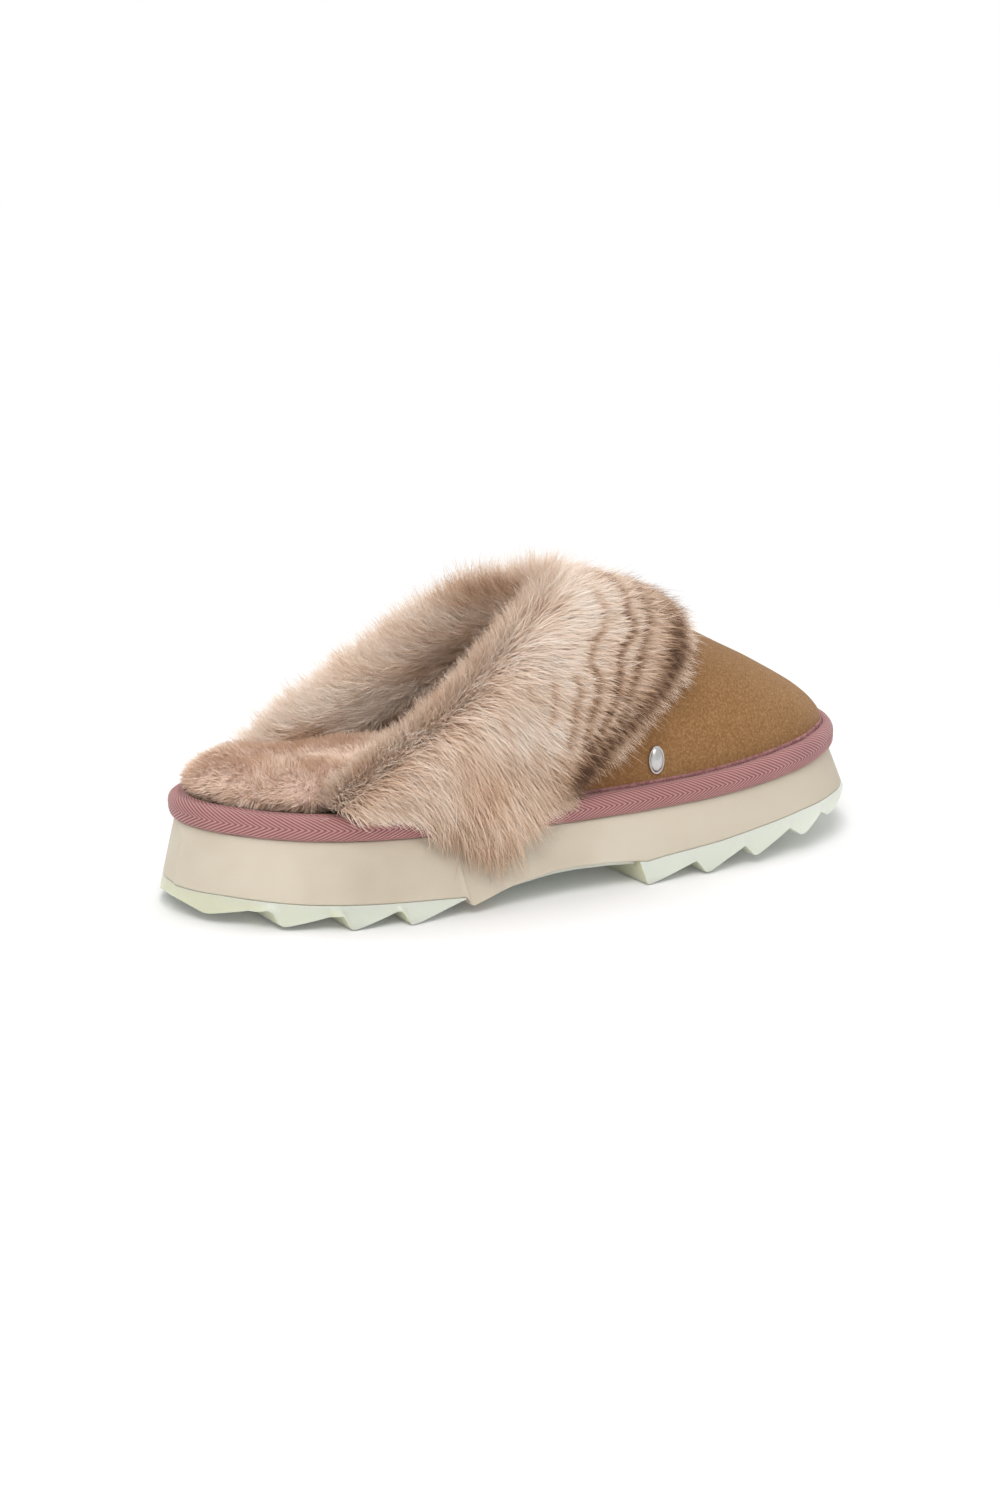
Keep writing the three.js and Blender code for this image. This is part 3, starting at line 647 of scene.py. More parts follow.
BIND_N, BIND_K = 1720, 50
bp, bn, bs, BIND_LEN = walk_outline(BIND_N)
line, across_v = even_line(PROFILE, BIND_K)
v_mid = float(np.interp(4.2, line[: BIND_K // 2 + 8, 1], across_v[: BIND_K // 2 + 8]))
sec = offset_points(bp[:, None], bn[:, None], line[None, :, 0:1], line[None, :, 1], line[None, :, 2])
ribs_total = round(BIND_LEN * math.sin(math.radians(27)) / RIB)
phase = bs[:, None] / BIND_LEN * ribs_total + np.abs(across_v[None, :] - v_mid) * math.cos(math.radians(27)) / RIB
rib = 1 - np.abs(np.sin(math.pi * phase)) ** 1.4 * 1.0
gap_row = np.exp(-((across_v[None, :] - v_mid) / 0.28) ** 2)
show = np.clip((across_v - 2.1) / 0.6, 0, 1) * (1 - np.clip((line[:, 1] - 7.9) / 0.5, 0, 1) * 0.6)
lift = (0.19 * (1 - rib) - 0.12 * gap_row) * show[None, :]
lift += 0.10 * waves(5, 10, 9.0)(sec) * show[None, :]
d_sec = np.gradient(sec, axis=1)
d_run = np.gradient(sec, axis=0)
nor = unit(np.cross(d_run, d_sec))
if (nor[:, BIND_K // 2, :2] * bn).sum() < 0:
    nor = -nor
sec = sec + nor * lift[..., None]
inner_wall = sec[:, [-1, 0]].copy()
inner_wall[:, :, :2] -= bn[:, None, :] * 0.0
bind_pts = sec
faces = grid_faces(BIND_N, BIND_K, wrap_rows=True, wrap_cols=True)
uv_u = np.stack([np.broadcast_to(bs[:, None] / 10, (BIND_N, BIND_K)), np.broadcast_to(across_v[None] / 10, (BIND_N, BIND_K))], -1).reshape(-1, 2)
uv_c = uv_u[faces.ravel()].reshape(-1, 4, 2)
last = faces[:, 1] < BIND_K                    # the step that closes the run
uv_c[last, 1, 0] = uv_c[last, 2, 0] = BIND_LEN / 10
binding_me = fast_mesh("binding_herringbone_tape", place(bind_pts.reshape(-1, 3)), faces, {"tape": uv_c.reshape(-1, 2)})
binding = new_object("binding_herringbone_tape", binding_me)
if normals_of(binding_me)[BIND_K // 2][0] > 0:
    binding_me.flip_normals()

n = Nodes("binding_twill")
tape = n.uv("tape")
xyz = n.add("ShaderNodeSeparateXYZ", _0=tape)
u10, v10 = xyz.outputs[0], xyz.outputs[1]
ph = n.math("ADD", n.math("MULTIPLY", u10, 10 / BIND_LEN * ribs_total),
            n.math("MULTIPLY", n.math("ABSOLUTE", n.math("SUBTRACT", v10, v_mid / 10)), 10 * math.cos(math.radians(27)) / RIB))
ridge_w = n.math("POWER", n.math("ABSOLUTE", n.math("SINE", n.math("MULTIPLY", ph, math.pi))), 1.2)
yarn = n.math("ABSOLUTE", n.math("SINE", n.math("MULTIPLY", n.math("SUBTRACT", n.math("MULTIPLY", v10, 10 / 0.34), n.math("MULTIPLY", u10, 10 / 0.9)), math.pi)))
v = n.coords()
tone = n.noise(v, 60, 3, 0.55)
speck = n.noise(v, 3600, 3, 0.7)
c = n.ramp(ridge_w, [(0.0, srgb(78, 38, 42)), (0.3, srgb(136, 84, 86)), (0.7, srgb(182, 129, 127)), (1.0, srgb(220, 172, 164))])
c = n.mix(n.math("MULTIPLY", n.math("SUBTRACT", 1.0, yarn), 0.35), c, srgb(112, 64, 68))
c = n.mix(0.18, c, n.ramp(speck, [(0.3, srgb(116, 68, 74)), (0.55, srgb(166, 112, 115)), (0.72, srgb(206, 160, 158))]))
c = n.mix(0.20, c, n.ramp(tone, [(0.3, srgb(142, 90, 94)), (0.7, srgb(176, 122, 124))]))
h = n.math("ADD", n.math("MULTIPLY", ridge_w, 0.7), n.math("ADD", n.math("MULTIPLY", yarn, 0.5), n.math("MULTIPLY", speck, 0.6)))
dress(binding, n.finish(c, 0.86, n.bump(h, 0.55, 0.00022), **{"Sheen Weight": 0.25, "Sheen Roughness": 0.45, "Specular IOR Level": 0.25}))


def capsules(name, centres, along, up, length, radius, segs=8, caps=3):
    """Little rounded rods: centres (n, 3), along and up unit vectors, in millimetres."""
    prof = []
    for k in range(caps + 1):
        th = math.pi / 2 * k / caps
        prof.append((-(length / 2 - radius) - radius * math.cos(th), max(radius * math.sin(th), 1e-3)))
    prof += [(-a, r) for a, r in prof[::-1]]
    side = unit(np.cross(along, up))
    up = unit(np.cross(side, along))
    th = np.linspace(0, 2 * math.pi, segs, endpoint=False)
    rows = len(prof)
    pr = np.array(prof)
    sag = -0.18 * (pr[:, 0] / (length / 2)) ** 2 * radius * 2
    pts = (centres[:, None, None] + along[:, None, None] * pr[None, :, None, 0:1]
           + up[:, None, None] * (pr[None, :, None, 1:2] * np.sin(th)[None, None, :, None] + sag[None, :, None, None])
           + side[:, None, None] * (pr[None, :, None, 1:2] * np.cos(th)[None, None, :, None]))
    f1 = grid_faces(rows, segs, wrap_cols=True)
    faces = (np.arange(len(centres))[:, None, None] * rows * segs + f1[None]).reshape(-1, 4)
    me = fast_mesh(name, place(pts.reshape(-1, 3)), faces)
    return new_object(name, me)


# Lockstitches in the groove, from one side of the cuff round the toe to the other.
pitch = 1.38
ids = np.arange(0, BIND_LEN, pitch)
wrapb = np.concatenate([bp, bp[:1]]); wrapn = np.concatenate([bn, bn[:1]]); wraps = np.concatenate([bs, [BIND_LEN]])
sp = np.stack([np.interp(ids, wraps, wrapb[:, i]) for i in range(2)], 1)
sn = unit(np.stack([np.interp(ids, wraps, wrapn[:, i]) for i in range(2)], 1))
keep = sp[:, 0] > -20
sp, sn = sp[keep], sn[keep]
jit = rng.normal(0, 1, (len(sp), 2))
ctr = offset_points(sp, sn, -2.02, 7.98, 1.0)
ctr[:, 2] += 0.10 + 0.02 * jit[:, 0]
ahead = offset_points(sp + np.stack([-sn[:, 1], sn[:, 0]], 1) * 0.5, sn, -2.02, 7.98, 1.0) - offset_points(sp, sn, -2.02, 7.98, 1.0)
alongv = unit(ahead + 0.05 * rng.normal(size=ahead.shape))
stitches = capsules("binding_lockstitches", ctr, alongv, np.broadcast_to([0.0, 0.0, 1.0], ctr.shape), 1.02, 0.20)
n = Nodes("stitch_thread")
v = n.coords()
tw = n.add("ShaderNodeTexWave", wave_type="BANDS", bands_direction="DIAGONAL", Vector=v, Scale=2600.0, Distortion=1.5)
c = n.ramp(n.noise(v, 900, 3), [(0.3, srgb(78, 42, 46)), (0.7, srgb(112, 66, 70))])
dress(stitches, n.finish(n.mix(n.math("MULTIPLY", tw.outputs["Fac"], 0.4), c, srgb(58, 30, 34)), 0.7,
                         n.bump(tw.outputs["Fac"], 0.5, 0.0001), **{"Sheen Weight": 0.2}))

# Overlocked raw edge of the upper where it meets the tape: a row of short slanted thread loops.
pitch = 0.78
ids = np.arange(0, BIND_LEN, pitch)
sp = np.stack([np.interp(ids, wraps, wrapb[:, i]) for i in range(2)], 1)
sn = unit(np.stack([np.interp(ids, wraps, wrapn[:, i]) for i in range(2)], 1))
keep = sp[:, 0] > -24
sp, sn = sp[keep], sn[keep]
ctr = offset_points(sp, sn, -2.72, 8.3, 1.0)
ctr[:, 2] += 0.42
tang = np.stack([-sn[:, 1], sn[:, 0], np.zeros(len(sn))], 1)
outw = np.concatenate([sn, np.zeros((len(sn), 1))], 1)
alongv = unit(0.55 * tang + 0.35 * outw + np.array([0, 0, -0.85]) + 0.06 * rng.normal(size=tang.shape))
overlock = capsules("upper_edge_overlock", ctr, alongv, outw, 1.5, 0.34)
n = Nodes("overlock_thread")
v = n.coords()
c = n.ramp(n.noise(v, 700, 3), [(0.3, srgb(132, 82, 84)), (0.7, srgb(184, 132, 130))])
dress(overlock, n.finish(c, 0.8, n.bump(n.noise(v, 4000, 2), 0.4, 0.0001), **{"Sheen Weight": 0.2}))


# ---------------------------------------------------------------- suede upper
top_line = lambda x: np.interp(x, *zip(*TOPLINE))
front_line = lambda x: np.interp(x, *zip(*COLLAR_FRONT))
TOE = sides(lambda x, y: -VAMP_INSET + 0 * x)[0][-1, 0]


def meet(phi, d, line_z):
    """x where the upper at angle phi first drops below the side-view line."""
    xs = np.arange(-93.0, 70.0, 0.25)
    z = arch(xs[None], phi[:, None], d)[..., 2]
    under = line_z(xs)[None] > z
    i = np.clip(under.argmax(1), 1, len(xs) - 1)
    r = np.arange(len(phi))
    a = line_z(xs[i - 1]) - z[r, i - 1]
    b = line_z(xs[i]) - z[r, i]
    return xs[i - 1] + 0.25 * np.clip(-a / np.where(np.abs(b - a) < 1e-9, 1, b - a), 0, 1)


def upper_shell(name, d_out, d_in, rows, cols, back=0.5, relief=None, z_floor=None):
    phi = np.linspace(0, math.pi, cols)
    phi = phi - 0.16 * np.sin(2 * phi) / 2           # a little denser at the sides
    xt = meet(phi, 0.0, top_line) + back
    t = np.linspace(0, 1, rows)
    s = np.sin(t * math.pi / 2) ** 0.9
    end = TOE - 0.2 + np.minimum(d_out, 0)
    X = xt[None] + (end - xt[None]) * s[:, None]
    P = np.broadcast_to(phi[None], X.shape)
    outer, inner = arch(X, P, d_out), arch(X, P, d_in)
    if relief is not None:
        g = unit(np.cross(np.gradient(outer, axis=0), np.gradient(outer, axis=1)))
        if (g[rows // 2, cols // 2, 2]) < 0:
            g = -g
        outer = outer + g * relief(outer)[..., None]
    n0 = rows * cols
    f = grid_faces(rows, cols)
    r = np.arange(rows - 1)
    c = np.arange(cols - 1)
    idx = lambda a, b: a * cols + b
    strips = [
        np.stack([idx(0, c), idx(0, c + 1), n0 + idx(0, c + 1), n0 + idx(0, c)], 1),
        np.stack([idx(rows - 1, c), idx(rows - 1, c + 1), n0 + idx(rows - 1, c + 1), n0 + idx(rows - 1, c)], 1),
        np.stack([idx(r, 0), idx(r + 1, 0), n0 + idx(r + 1, 0), n0 + idx(r, 0)], 1),
        np.stack([idx(r, cols - 1), idx(r + 1, cols - 1), n0 + idx(r + 1, cols - 1), n0 + idx(r, cols - 1)], 1)]
    me = fast_mesh(name, place(np.concatenate([outer.reshape(-1, 3), inner.reshape(-1, 3)])), np.concatenate([f, f + n0] + strips))
    tidy(me, 2e-6, 50)
    return new_object(name, me)


soft1, soft2 = waves(11, 14, 34.0), waves(12, 20, 7.0)
vamp = upper_shell("vamp_suede", 0.0, -1.8, 230, 150, relief=lambda p: 0.28 * soft1(p) * np.clip((p[..., 2] - z_bind(p[..., 0]) - 1.5) / 6, 0, 1) + 0.035 * soft2(p))
n = Nodes("suede")
v = n.coords()
big = n.noise(v, 22, 4, 0.6, 0.4)
nap = n.noise(n.coords((1.0, 1.0, 1.6)), 170, 5, 0.62, 0.8)
grain = n.noise(v, 1150, 5, 0.78)
speck = n.voronoi(v, 1400)
c = n.ramp(big, [(0.28, srgb(130, 94, 56)), (0.5, srgb(146, 108, 68)), (0.74, srgb(158, 120, 80))])
c = n.mix(0.32, c, n.ramp(nap, [(0.3, srgb(126, 89, 53)), (0.55, srgb(149, 110, 69)), (0.78, srgb(172, 134, 92))]))
c = n.mix(0.55, c, n.ramp(grain, [(0.32, srgb(94, 62, 35)), (0.5, srgb(148, 109, 69)), (0.66, srgb(200, 162, 118))]))
c = n.mix(n.scalar(speck, [(0.0, 0.40), (0.22, 0.0)]), c, srgb(96, 64, 36))
geo = n.add("ShaderNodeNewGeometry")
pos = n.add("ShaderNodeSeparateXYZ", _0=geo.outputs["Position"])
# painted shade darkens the suede beside the cuff, and the suede is darker towards the seam with the tape
edge = n.math("SUBTRACT", n.math("MULTIPLY", pos.outputs[0], 1.0), n.math("MULTIPLY", pos.outputs[2], 0.78))
cuff_shade = n.scalar(n.math("ADD", n.math("MULTIPLY", edge, 16.0), 0.55), [(0.12, 0.55), (0.60, 0.0)])
c = n.mix(cuff_shade, c, srgb(112, 72, 44))
top_l = n.scalar(n.math("MULTIPLY", pos.outputs[2], 10.0), [(0.34, 0.22), (0.62, 0.0)])
c = n.mix(top_l, c, srgb(116, 78, 44))
# painted shade darkens the upper part of the suede, up under the cuff
c = n.mix(n.scalar(n.math("MULTIPLY", pos.outputs[2], 10.0), [(0.52, 0.0), (0.80, 0.50)]), c, srgb(122, 86, 54))
h = n.math("ADD", n.math("MULTIPLY", grain, 0.9), n.math("ADD", n.math("MULTIPLY", nap, 0.7), n.math("MULTIPLY", speck, 0.4)))
MAT_SUEDE = n.finish(c, 0.93, n.bump(h, 0.55, 0.00035), **{"Sheen Weight": 0.14, "Sheen Roughness": 0.5, "Sheen Tint": (1.0, 0.86, 0.7, 1), "Specular IOR Level": 0.12})
dress(vamp, MAT_SUEDE)

lining_rel = waves(21, 24, 5.0)
lining = upper_shell("vamp_lining_plush", -3.6, -5.0, 120, 100, back=2.5)
co = vertices_of(lining.data)
no = normals_of(lining.data)
nz = lining_rel(co / MM) * 0.22 * MM
lining.data.vertices.foreach_set("co", (co + no * np.minimum(nz, 0.0)[:, None]).astype(np.float32).ravel())
lining.data.update()
n = Nodes("plush_lining")
v = n.coords()
tuft = n.noise(v, 420, 5, 0.7, 1.2)
c = n.ramp(n.noise(v, 30, 3), [(0.3, srgb(196, 168, 150)), (0.7, srgb(224, 200, 182))])
c = n.mix(0.5, c, n.ramp(tuft, [(0.3, srgb(166, 134, 114)), (0.65, srgb(236, 216, 200))]))
dress(lining, n.finish(c, 0.95, n.bump(tuft, 0.9, 0.001), **{"Sheen Weight": 0.5, "Sheen Roughness": 0.6, "Specular IOR Level": 0.1}))


# ---------------------------------------------------------------- fur strands
PALETTE = [  # luminance steps from the palest tips to the darkest bars
    (0.00, srgb(250, 239, 228)), (0.20, srgb(236, 216, 198)), (0.40, srgb(212, 182, 156)), (0.60, srgb(164, 132, 106)),
    (0.80, srgb(110, 79, 58)), (1.00, srgb(60, 40, 28))]


def fur_material(name, warm, cool):
    n = Nodes(name)
    uv = n.add("ShaderNodeSeparateXYZ", _0=n.uv("OFBake"))
    c = n.ramp(uv.outputs[0], PALETTE, "EASE")
    c = n.mix(n.scalar(uv.outputs[1], [(0.0, 0.42), (0.5, 0.0)]), c, n.mix(1.0, c, warm, "MULTIPLY"))
    c = n.mix(n.scalar(uv.outputs[1], [(0.5, 0.0), (1.0, 0.42)]), c, n.mix(1.0, c, cool, "MULTIPLY"))
    return n.finish(c, 0.62, None, **{"Specular IOR Level": 0.22, "Sheen Weight": 0.15, "Sheen Roughness": 0.4})


MAT_FUR = fur_material("fur", (1.0, 0.80, 0.62), (0.90, 0.93, 0.97))


def catmull_rows(ctrl, count):
    """Even samples of smooth lines through ctrl (n, 4, 3): Bezier with those corners."""
    t = np.linspace(0, 1, count)[None, :, None]
    a, b, c, d = (ctrl[:, None, i] for i in range(4))
    return (1 - t) ** 3 * a + 3 * (1 - t) ** 2 * t * b + 3 * (1 - t) * t * t * c + t**3 * d


class Guard:
    """Keeps strands outside the platform, tape and foam wall: distance outside the outline from a lookup grid."""

    def __init__(self):
        self.step = 1.0
        self.x0, self.y0 = -170.0, -90.0
        xs = np.arange(self.x0, 170, self.step)
        ys = np.arange(self.y0, 90, self.step)
        X, Y = np.meshgrid(xs, ys, indexing="ij")
        q = np.stack([X.ravel(), Y.ravel()], 1)
        sub = BASE[::8]
        nsub = NORMAL[::8]
        best = np.full(len(q), 1e9)
        sd = np.zeros(len(q))
        gx = np.zeros((len(q), 2))
        for s in range(0, len(q), 20000):
            d = q[s:s + 20000, None] - sub[None]
            dd = (d**2).sum(-1)
            i = dd.argmin(1)
            r = np.arange(len(i))
            sgn = np.sign((d[r, i] * nsub[i]).sum(1))
            sd[s:s + 20000] = sgn * np.sqrt(dd[r, i])
            gx[s:s + 20000] = nsub[i]
        self.sd = sd.reshape(X.shape)
        self.g = gx.reshape(*X.shape, 2)

    def look(self, p):
        fx = np.clip((p[..., 0] - self.x0) / self.step, 0, self.sd.shape[0] - 2.001)
        fy = np.clip((p[..., 1] - self.y0) / self.step, 0, self.sd.shape[1] - 2.001)
        ix, iy = fx.astype(int), fy.astype(int)
        tx, ty = fx - ix, fy - iy
        s = self.sd
        d = ((s[ix, iy] * (1 - tx) + s[ix + 1, iy] * tx) * (1 - ty) + (s[ix, iy + 1] * (1 - tx) + s[ix + 1, iy + 1] * tx) * ty)
        return d, self.g[ix, iy]

    def push(self, p, margin):
        """Moves points that would be inside the tape or the foam outward, away from the outline."""
        d, g = self.look(p)
        z, x = p[..., 2], p[..., 0]
        zt = z_top(x)
        need = np.where(z > zt + bind_h(x) + 0.6, -30.0,
                        np.where(z > zt, 2.3, np.minimum(flare(x) * (zt - z) / (zt - np.clip(z_under(x), 6, 17)), 12) + 0.4))
        need = np.maximum(need, np.where((z > zt - 3) & (z < zt + 9), 2.3, -30))
        short = np.maximum(need + margin - d, 0)
        short = np.where(need < -20, 0, short)
        p = p.copy()
        p[..., :2] += g * short[..., None]
        return p


GUARD = Guard()


def ribbons(name, pts, width, normals, u, v, mat, roll, taper=1.6, root=0.75, parts=1):
    """Tapered flat strands: pts (n, k, 3) mm, width (n,), normals (n, 3) or (n, k, 3), u and v (n, k) palette places."""
    n_, k_ = pts.shape[:2]
    tan = unit(np.gradient(pts, axis=1))
    nn = normals[:, None] if normals.ndim == 2 else normals
    side = unit(np.cross(tan, nn))
    other = unit(np.cross(side, tan))
    side = side * np.cos(roll)[:, None, None] + other * np.sin(roll)[:, None, None]
    t = np.linspace(0, 1, k_)
    prof = np.minimum(root + (1 - root) * np.clip(t / 0.25, 0, 1), 1) * (1 - t**taper * 0.93)
    w = width[:, None] * prof[None]
    left = pts - side * w[..., None] / 2
    right = pts + side * w[..., None] / 2
    co = np.stack([left, right], 2)                    # n, k, 2, 3
    q = np.arange(k_ - 1) * 2
    cell = np.stack([q, q + 1, q + 3, q + 2], 1)
    out = []
    cut = np.array_split(np.arange(n_), parts)
    for i, ids in enumerate(cut):
        m_ = len(ids)
        faces = (np.arange(m_)[:, None, None] * k_ * 2 + cell[None]).reshape(-1, 4)
        dv = 0.004
        uu = np.stack([u[ids], u[ids]], 2).reshape(-1)
        vv = np.stack([v[ids] - dv, v[ids] + dv], 2).reshape(-1)
        uv = np.stack([np.clip(uu, 0.003, 0.997), np.clip(vv, 0.002, 0.998)], 1)[faces.ravel()]
        me = fast_mesh(f"{name}_{i + 1}" if parts > 1 else name, place(co[ids].reshape(-1, 3)), faces, {"OFBake": uv})
        ob = new_object(me.name, me)
        dress(ob, mat)
        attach(ob, "root")
        out.append(ob)
    return out


def clumped(pts, roots, per, strength, seed, wander=0.0):
    """Pulls strand tips together round seeded centre strands, more toward the tips."""
    r = np.random.default_rng(seed)
    n_ = len(pts)
    lead = r.choice(n_, max(n_ // per, 4), replace=False)
    tree = kdtree.KDTree(len(lead))
    for i, j in enumerate(lead):
        tree.insert(Vector(roots[j]), i)
    tree.balance()
    near = np.array([lead[tree.find(Vector(p))[1]] for p in roots])
    t = np.linspace(0, 1, pts.shape[1])
    amt = (strength * r.uniform(0.45, 1.15, n_))[:, None] * t[None] ** 1.25
    target = pts[near] + (pts[:, :1] - pts[near][:, :1]) * (1 - t[None, :, None]) * 0.6
    return pts + (target - pts) * np.clip(amt, 0, 0.92)[..., None], near


# Fur cuff: skin that wraps the foot opening, outside over the upper, over its edge, and inside over the lining.
CUFF_PHI = 200
phi = np.linspace(0.006, math.pi - 0.006, CUFF_PHI)
phi = phi - 0.10 * np.sin(2 * phi) / 2
x_top = meet(phi, 0.0, top_line)
x_front = meet(phi, 0.0, front_line)
in_line = lambda x: np.interp(x, [-62, -50, -28, -4, 24, 30], [34, 44, 60, 76, 90, 200])
x_in = np.minimum(meet(phi, 0.0, in_line), x_top + 34)
secs = []
D_OUT, D_IN = 2.4, -8.6
EDGE = 3.5 + 3.5 * np.clip((72 - np.stack([arch(a, b, 0.0) for a, b in zip(x_front, phi)])[:, 2]) / 24, 0, 1)
edge_in = np.clip(np.minimum(phi, math.pi - phi) / 0.25, 0, 1)
for k, t in enumerate(np.linspace(0, 1, 34)):          # outer face, front edge to topline
    x = (x_front - EDGE) + (x_top - x_front + EDGE) * t
    d = 0.5 + (D_OUT - 0.5) * min(t / 0.12, 1) ** 0.5 * np.ones_like(x)
    secs.append(arch(x, phi, d))
OUTER_K = len(secs)
rim_r = (D_OUT - D_IN) / 2
for th in np.linspace(0, math.pi, 13)[1:-1]:
    x = x_top - 5.5 * math.sin(th)
    secs.append(arch(x, phi, np.full_like(x, (D_OUT + D_IN) / 2 + rim_r * math.cos(th))))
RIM_K = len(secs)
for t in np.linspace(0, 1, 18):                        # inner face, topline to its lower edge
    x = x_top + (x_in - x_top) * t
    secs.append(arch(x, phi, D_IN + (2.6 * max(t - 0.8, 0) / 0.2) * np.ones_like(x)))
INNER_K = len(secs)
for t in np.linspace(0, 1, 6):
    secs.append(arch(x_in + (x_top + 0.9 - x_in) * t, phi, np.full_like(x_in, -5.6)))
secs.append(arch(x_top - 0.9, phi, np.full_like(x_top, -3.6)))
secs.append(arch(x_top - 0.9, phi, np.full_like(x_top, -0.6)))
for t in np.linspace(0, 1, 6):
    secs.append(arch(x_top + 0.4 + (x_front - EDGE - x_top - 0.4) * t, phi, np.full_like(x_in, 0.35)))
skin = np.stack(secs, 1)                               # phi, k, 3
zlow = z_bind(skin[..., 0]) + 1.2
skin[..., 2] = np.maximum(skin[..., 2], zlow)
K = skin.shape[1]
faces = grid_faces(CUFF_PHI, K, wrap_cols=True).tolist()
faces += [list(range(K))[::-1], [(CUFF_PHI - 1) * K + i for i in range(K)]]
me = bpy.data.meshes.new("fur_collar_skin")
me.from_pydata(place(skin.reshape(-1, 3)).tolist(), [], faces)
tidy(me, 2e-6)
cuff = new_object("fur_collar_skin", me)
n = Nodes("fur_backing")
v = n.coords()
knit = n.noise(v, 900, 4, 0.7)
c = n.ramp(n.noise(v, 60, 3), [(0.3, srgb(168, 136, 110)), (0.7, srgb(204, 174, 148))])
dress(cuff, n.finish(n.mix(0.4, c, n.ramp(knit, [(0.3, srgb(160, 130, 108)), (0.7, srgb(228, 204, 182))])), 0.95, n.bump(knit, 0.8, 0.0008),
                     **{"Sheen Weight": 0.3, "Specular IOR Level": 0.1}))

front = skin[:, :INNER_K]
gk = np.gradient(front, axis=1)
gp = np.gradient(front, axis=0)
nrm = unit(np.cross(gp, gk))
mid_c = CUFF_PHI // 2
if nrm[mid_c, 5, 2] < 0:
    nrm = -nrm
cell_area = np.linalg.norm(np.cross(gp, gk), axis=2)
toward = -unit(gk)                                     # from the inner edge over the rim to the front edge


def sample_roots(count, weight, seed):
    r = np.random.default_rng(seed)
    w = (cell_area * weight)[:-1, :-1].ravel()
    pick = r.choice(len(w), count, p=w / w.sum())
    i, k = pick // (INNER_K - 1), pick % (INNER_K - 1)
    a, b = r.uniform(0, 1, (2, count))
    def mixg(arr):
        return ((arr[i, k].T * (1 - a) * (1 - b)).T + (arr[i + 1, k].T * a * (1 - b)).T
                + (arr[i, k + 1].T * (1 - a) * b).T + (arr[i + 1, k + 1].T * a * b).T)
    return mixg(front), unit(mixg(nrm)), unit(mixg(toward)), k + b, phi[i] + (phi[np.minimum(i + 1, CUFF_PHI - 1)] - phi[i]) * a, r


kk = np.arange(INNER_K)
depth_from_front = np.concatenate([np.zeros((CUFF_PHI, 1)), np.cumsum(np.linalg.norm(np.diff(front, axis=1), axis=2), axis=1)], 1)
rim_dist = depth_from_front - depth_from_front[:, OUTER_K + 5][:, None]     # negative outside, positive inside


def at_root(arr, k, ph):
    fi = np.clip(np.interp(ph, phi, np.arange(CUFF_PHI)), 0, CUFF_PHI - 1.001)
    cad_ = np.clip(k, 0, INNER_K - 1.001)
    i, j = fi.astype(int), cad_.astype(int)
    a, b = fi - i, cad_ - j
    return arr[i, j] * (1 - a) * (1 - b) + arr[i + 1, j] * a * (1 - b) + arr[i, j + 1] * (1 - a) * b + arr[i + 1, j + 1] * a * b


# Colour bars of the printed pile, as lines in side view (x, z) with width and darkness.
BARS_OUT = [
    ([(50, 96), (52, 91), (43, 85), (39, 77.8), (27, 66.2), (11.5, 55.8), (0.5, 48.6), (-9, 37.1)], 4.6, 0.68),
    ([(46, 96), (47, 91), (38.5, 85), (34.5, 77.8), (23, 66.2), (8, 55.8), (-3, 48.6), (-13, 37.1)], 4.0, 0.50),
    ([(39, 98), (31, 91.6), (26, 85.9), (17.5, 77.4), (11.5, 68.2), (4.5, 56.5), (-2, 47.4)], 1.0, 0.75),
    ([(26, 100), (20.5, 90.5), (18, 84.8), (10.5, 79.4), (7.5, 72.7), (4, 64.3), (-1.5, 56.3), (-7.5, 48.1)], 1.0, 0.78),
    ([(11, 97), (11.5, 90.7), (4, 84), (-2.5, 77.2), (-1, 72), (-3.5, 65), (-6.5, 58.3), (-9.5, 48.4)], 0.95, 0.66),
    ([(-10.5, 72.8), (-9, 67.2), (-12, 58.2), (-15.5, 50.3)], 0.9, 0.58),
    ([(-18.5, 71.1), (-18, 65.3), (-21, 58.4)], 0.9, 0.46),
    ([(-28.5, 71.8), (-27.5, 67.5)], 1.2, 0.3),
    ([(-40, 62), (-37, 55), (-38, 48)], 1.2, 0.22)]
ZONES_OUT = [  # x, z, radius x, radius z, darkness, warmth
    (30, 78, 13, 15, 0.20, 0.10), (-14, 38, 17, 10, 0.30, 0.1), (-52, 50, 13, 14, 0.05, 0.8), (-46, 36, 9, 10, 0.06, 0.7),
    (-48, 16, 26, 15, 0.30, 0.25), (-86, 44, 14, 12, 0.10, 0.2),
    (6, 92, 11, 10, -0.16, -0.1), (-70, 52, 12, 10, 0.0, 0.3), (18, 96, 10, 7, -0.05, 0.0), (8, 66, 16, 10, 0.10, 0.2)]
ZONES_IN = [
    (-12, 94, 18, 7.5, 0.42, 0.25), (-36, 80, 12, 4, 0.14, 0.2), (-34, 66, 26, 6, 0.06, 0.85), (-14, 76, 16, 6, 0.06, 0.7),
    (-30, 55, 30, 6, 0.0, -0.1), (-76, 45, 14, 6, 0.34, 0.1), (6, 82, 16, 7, 0.05, 0.0)]


def polyline_gap(px, pz, pts):
    best = np.full(px.shape, 1e9)
    run = np.zeros(px.shape)
    total = 0.0
    for (x0, z0), (x1, z1) in zip(pts, pts[1:]):
        dx, dz = x1 - x0, z1 - z0
        L2 = dx * dx + dz * dz
        t = np.clip(((px - x0) * dx + (pz - z0) * dz) / L2, 0, 1)
        d = np.hypot(px - x0 - t * dx, pz - z0 - t * dz)
        hit = d < best
        run = np.where(hit, total + t * math.sqrt(L2), run)
        best = np.where(hit, d, best)
        total += math.sqrt(L2)
    return best, run


wob1, wob2, wob3 = waves(31, 16, 16.0), waves(32, 16, 16.0), waves(33, 14, 26.0)
fine1 = waves(34, 24, 5.0)


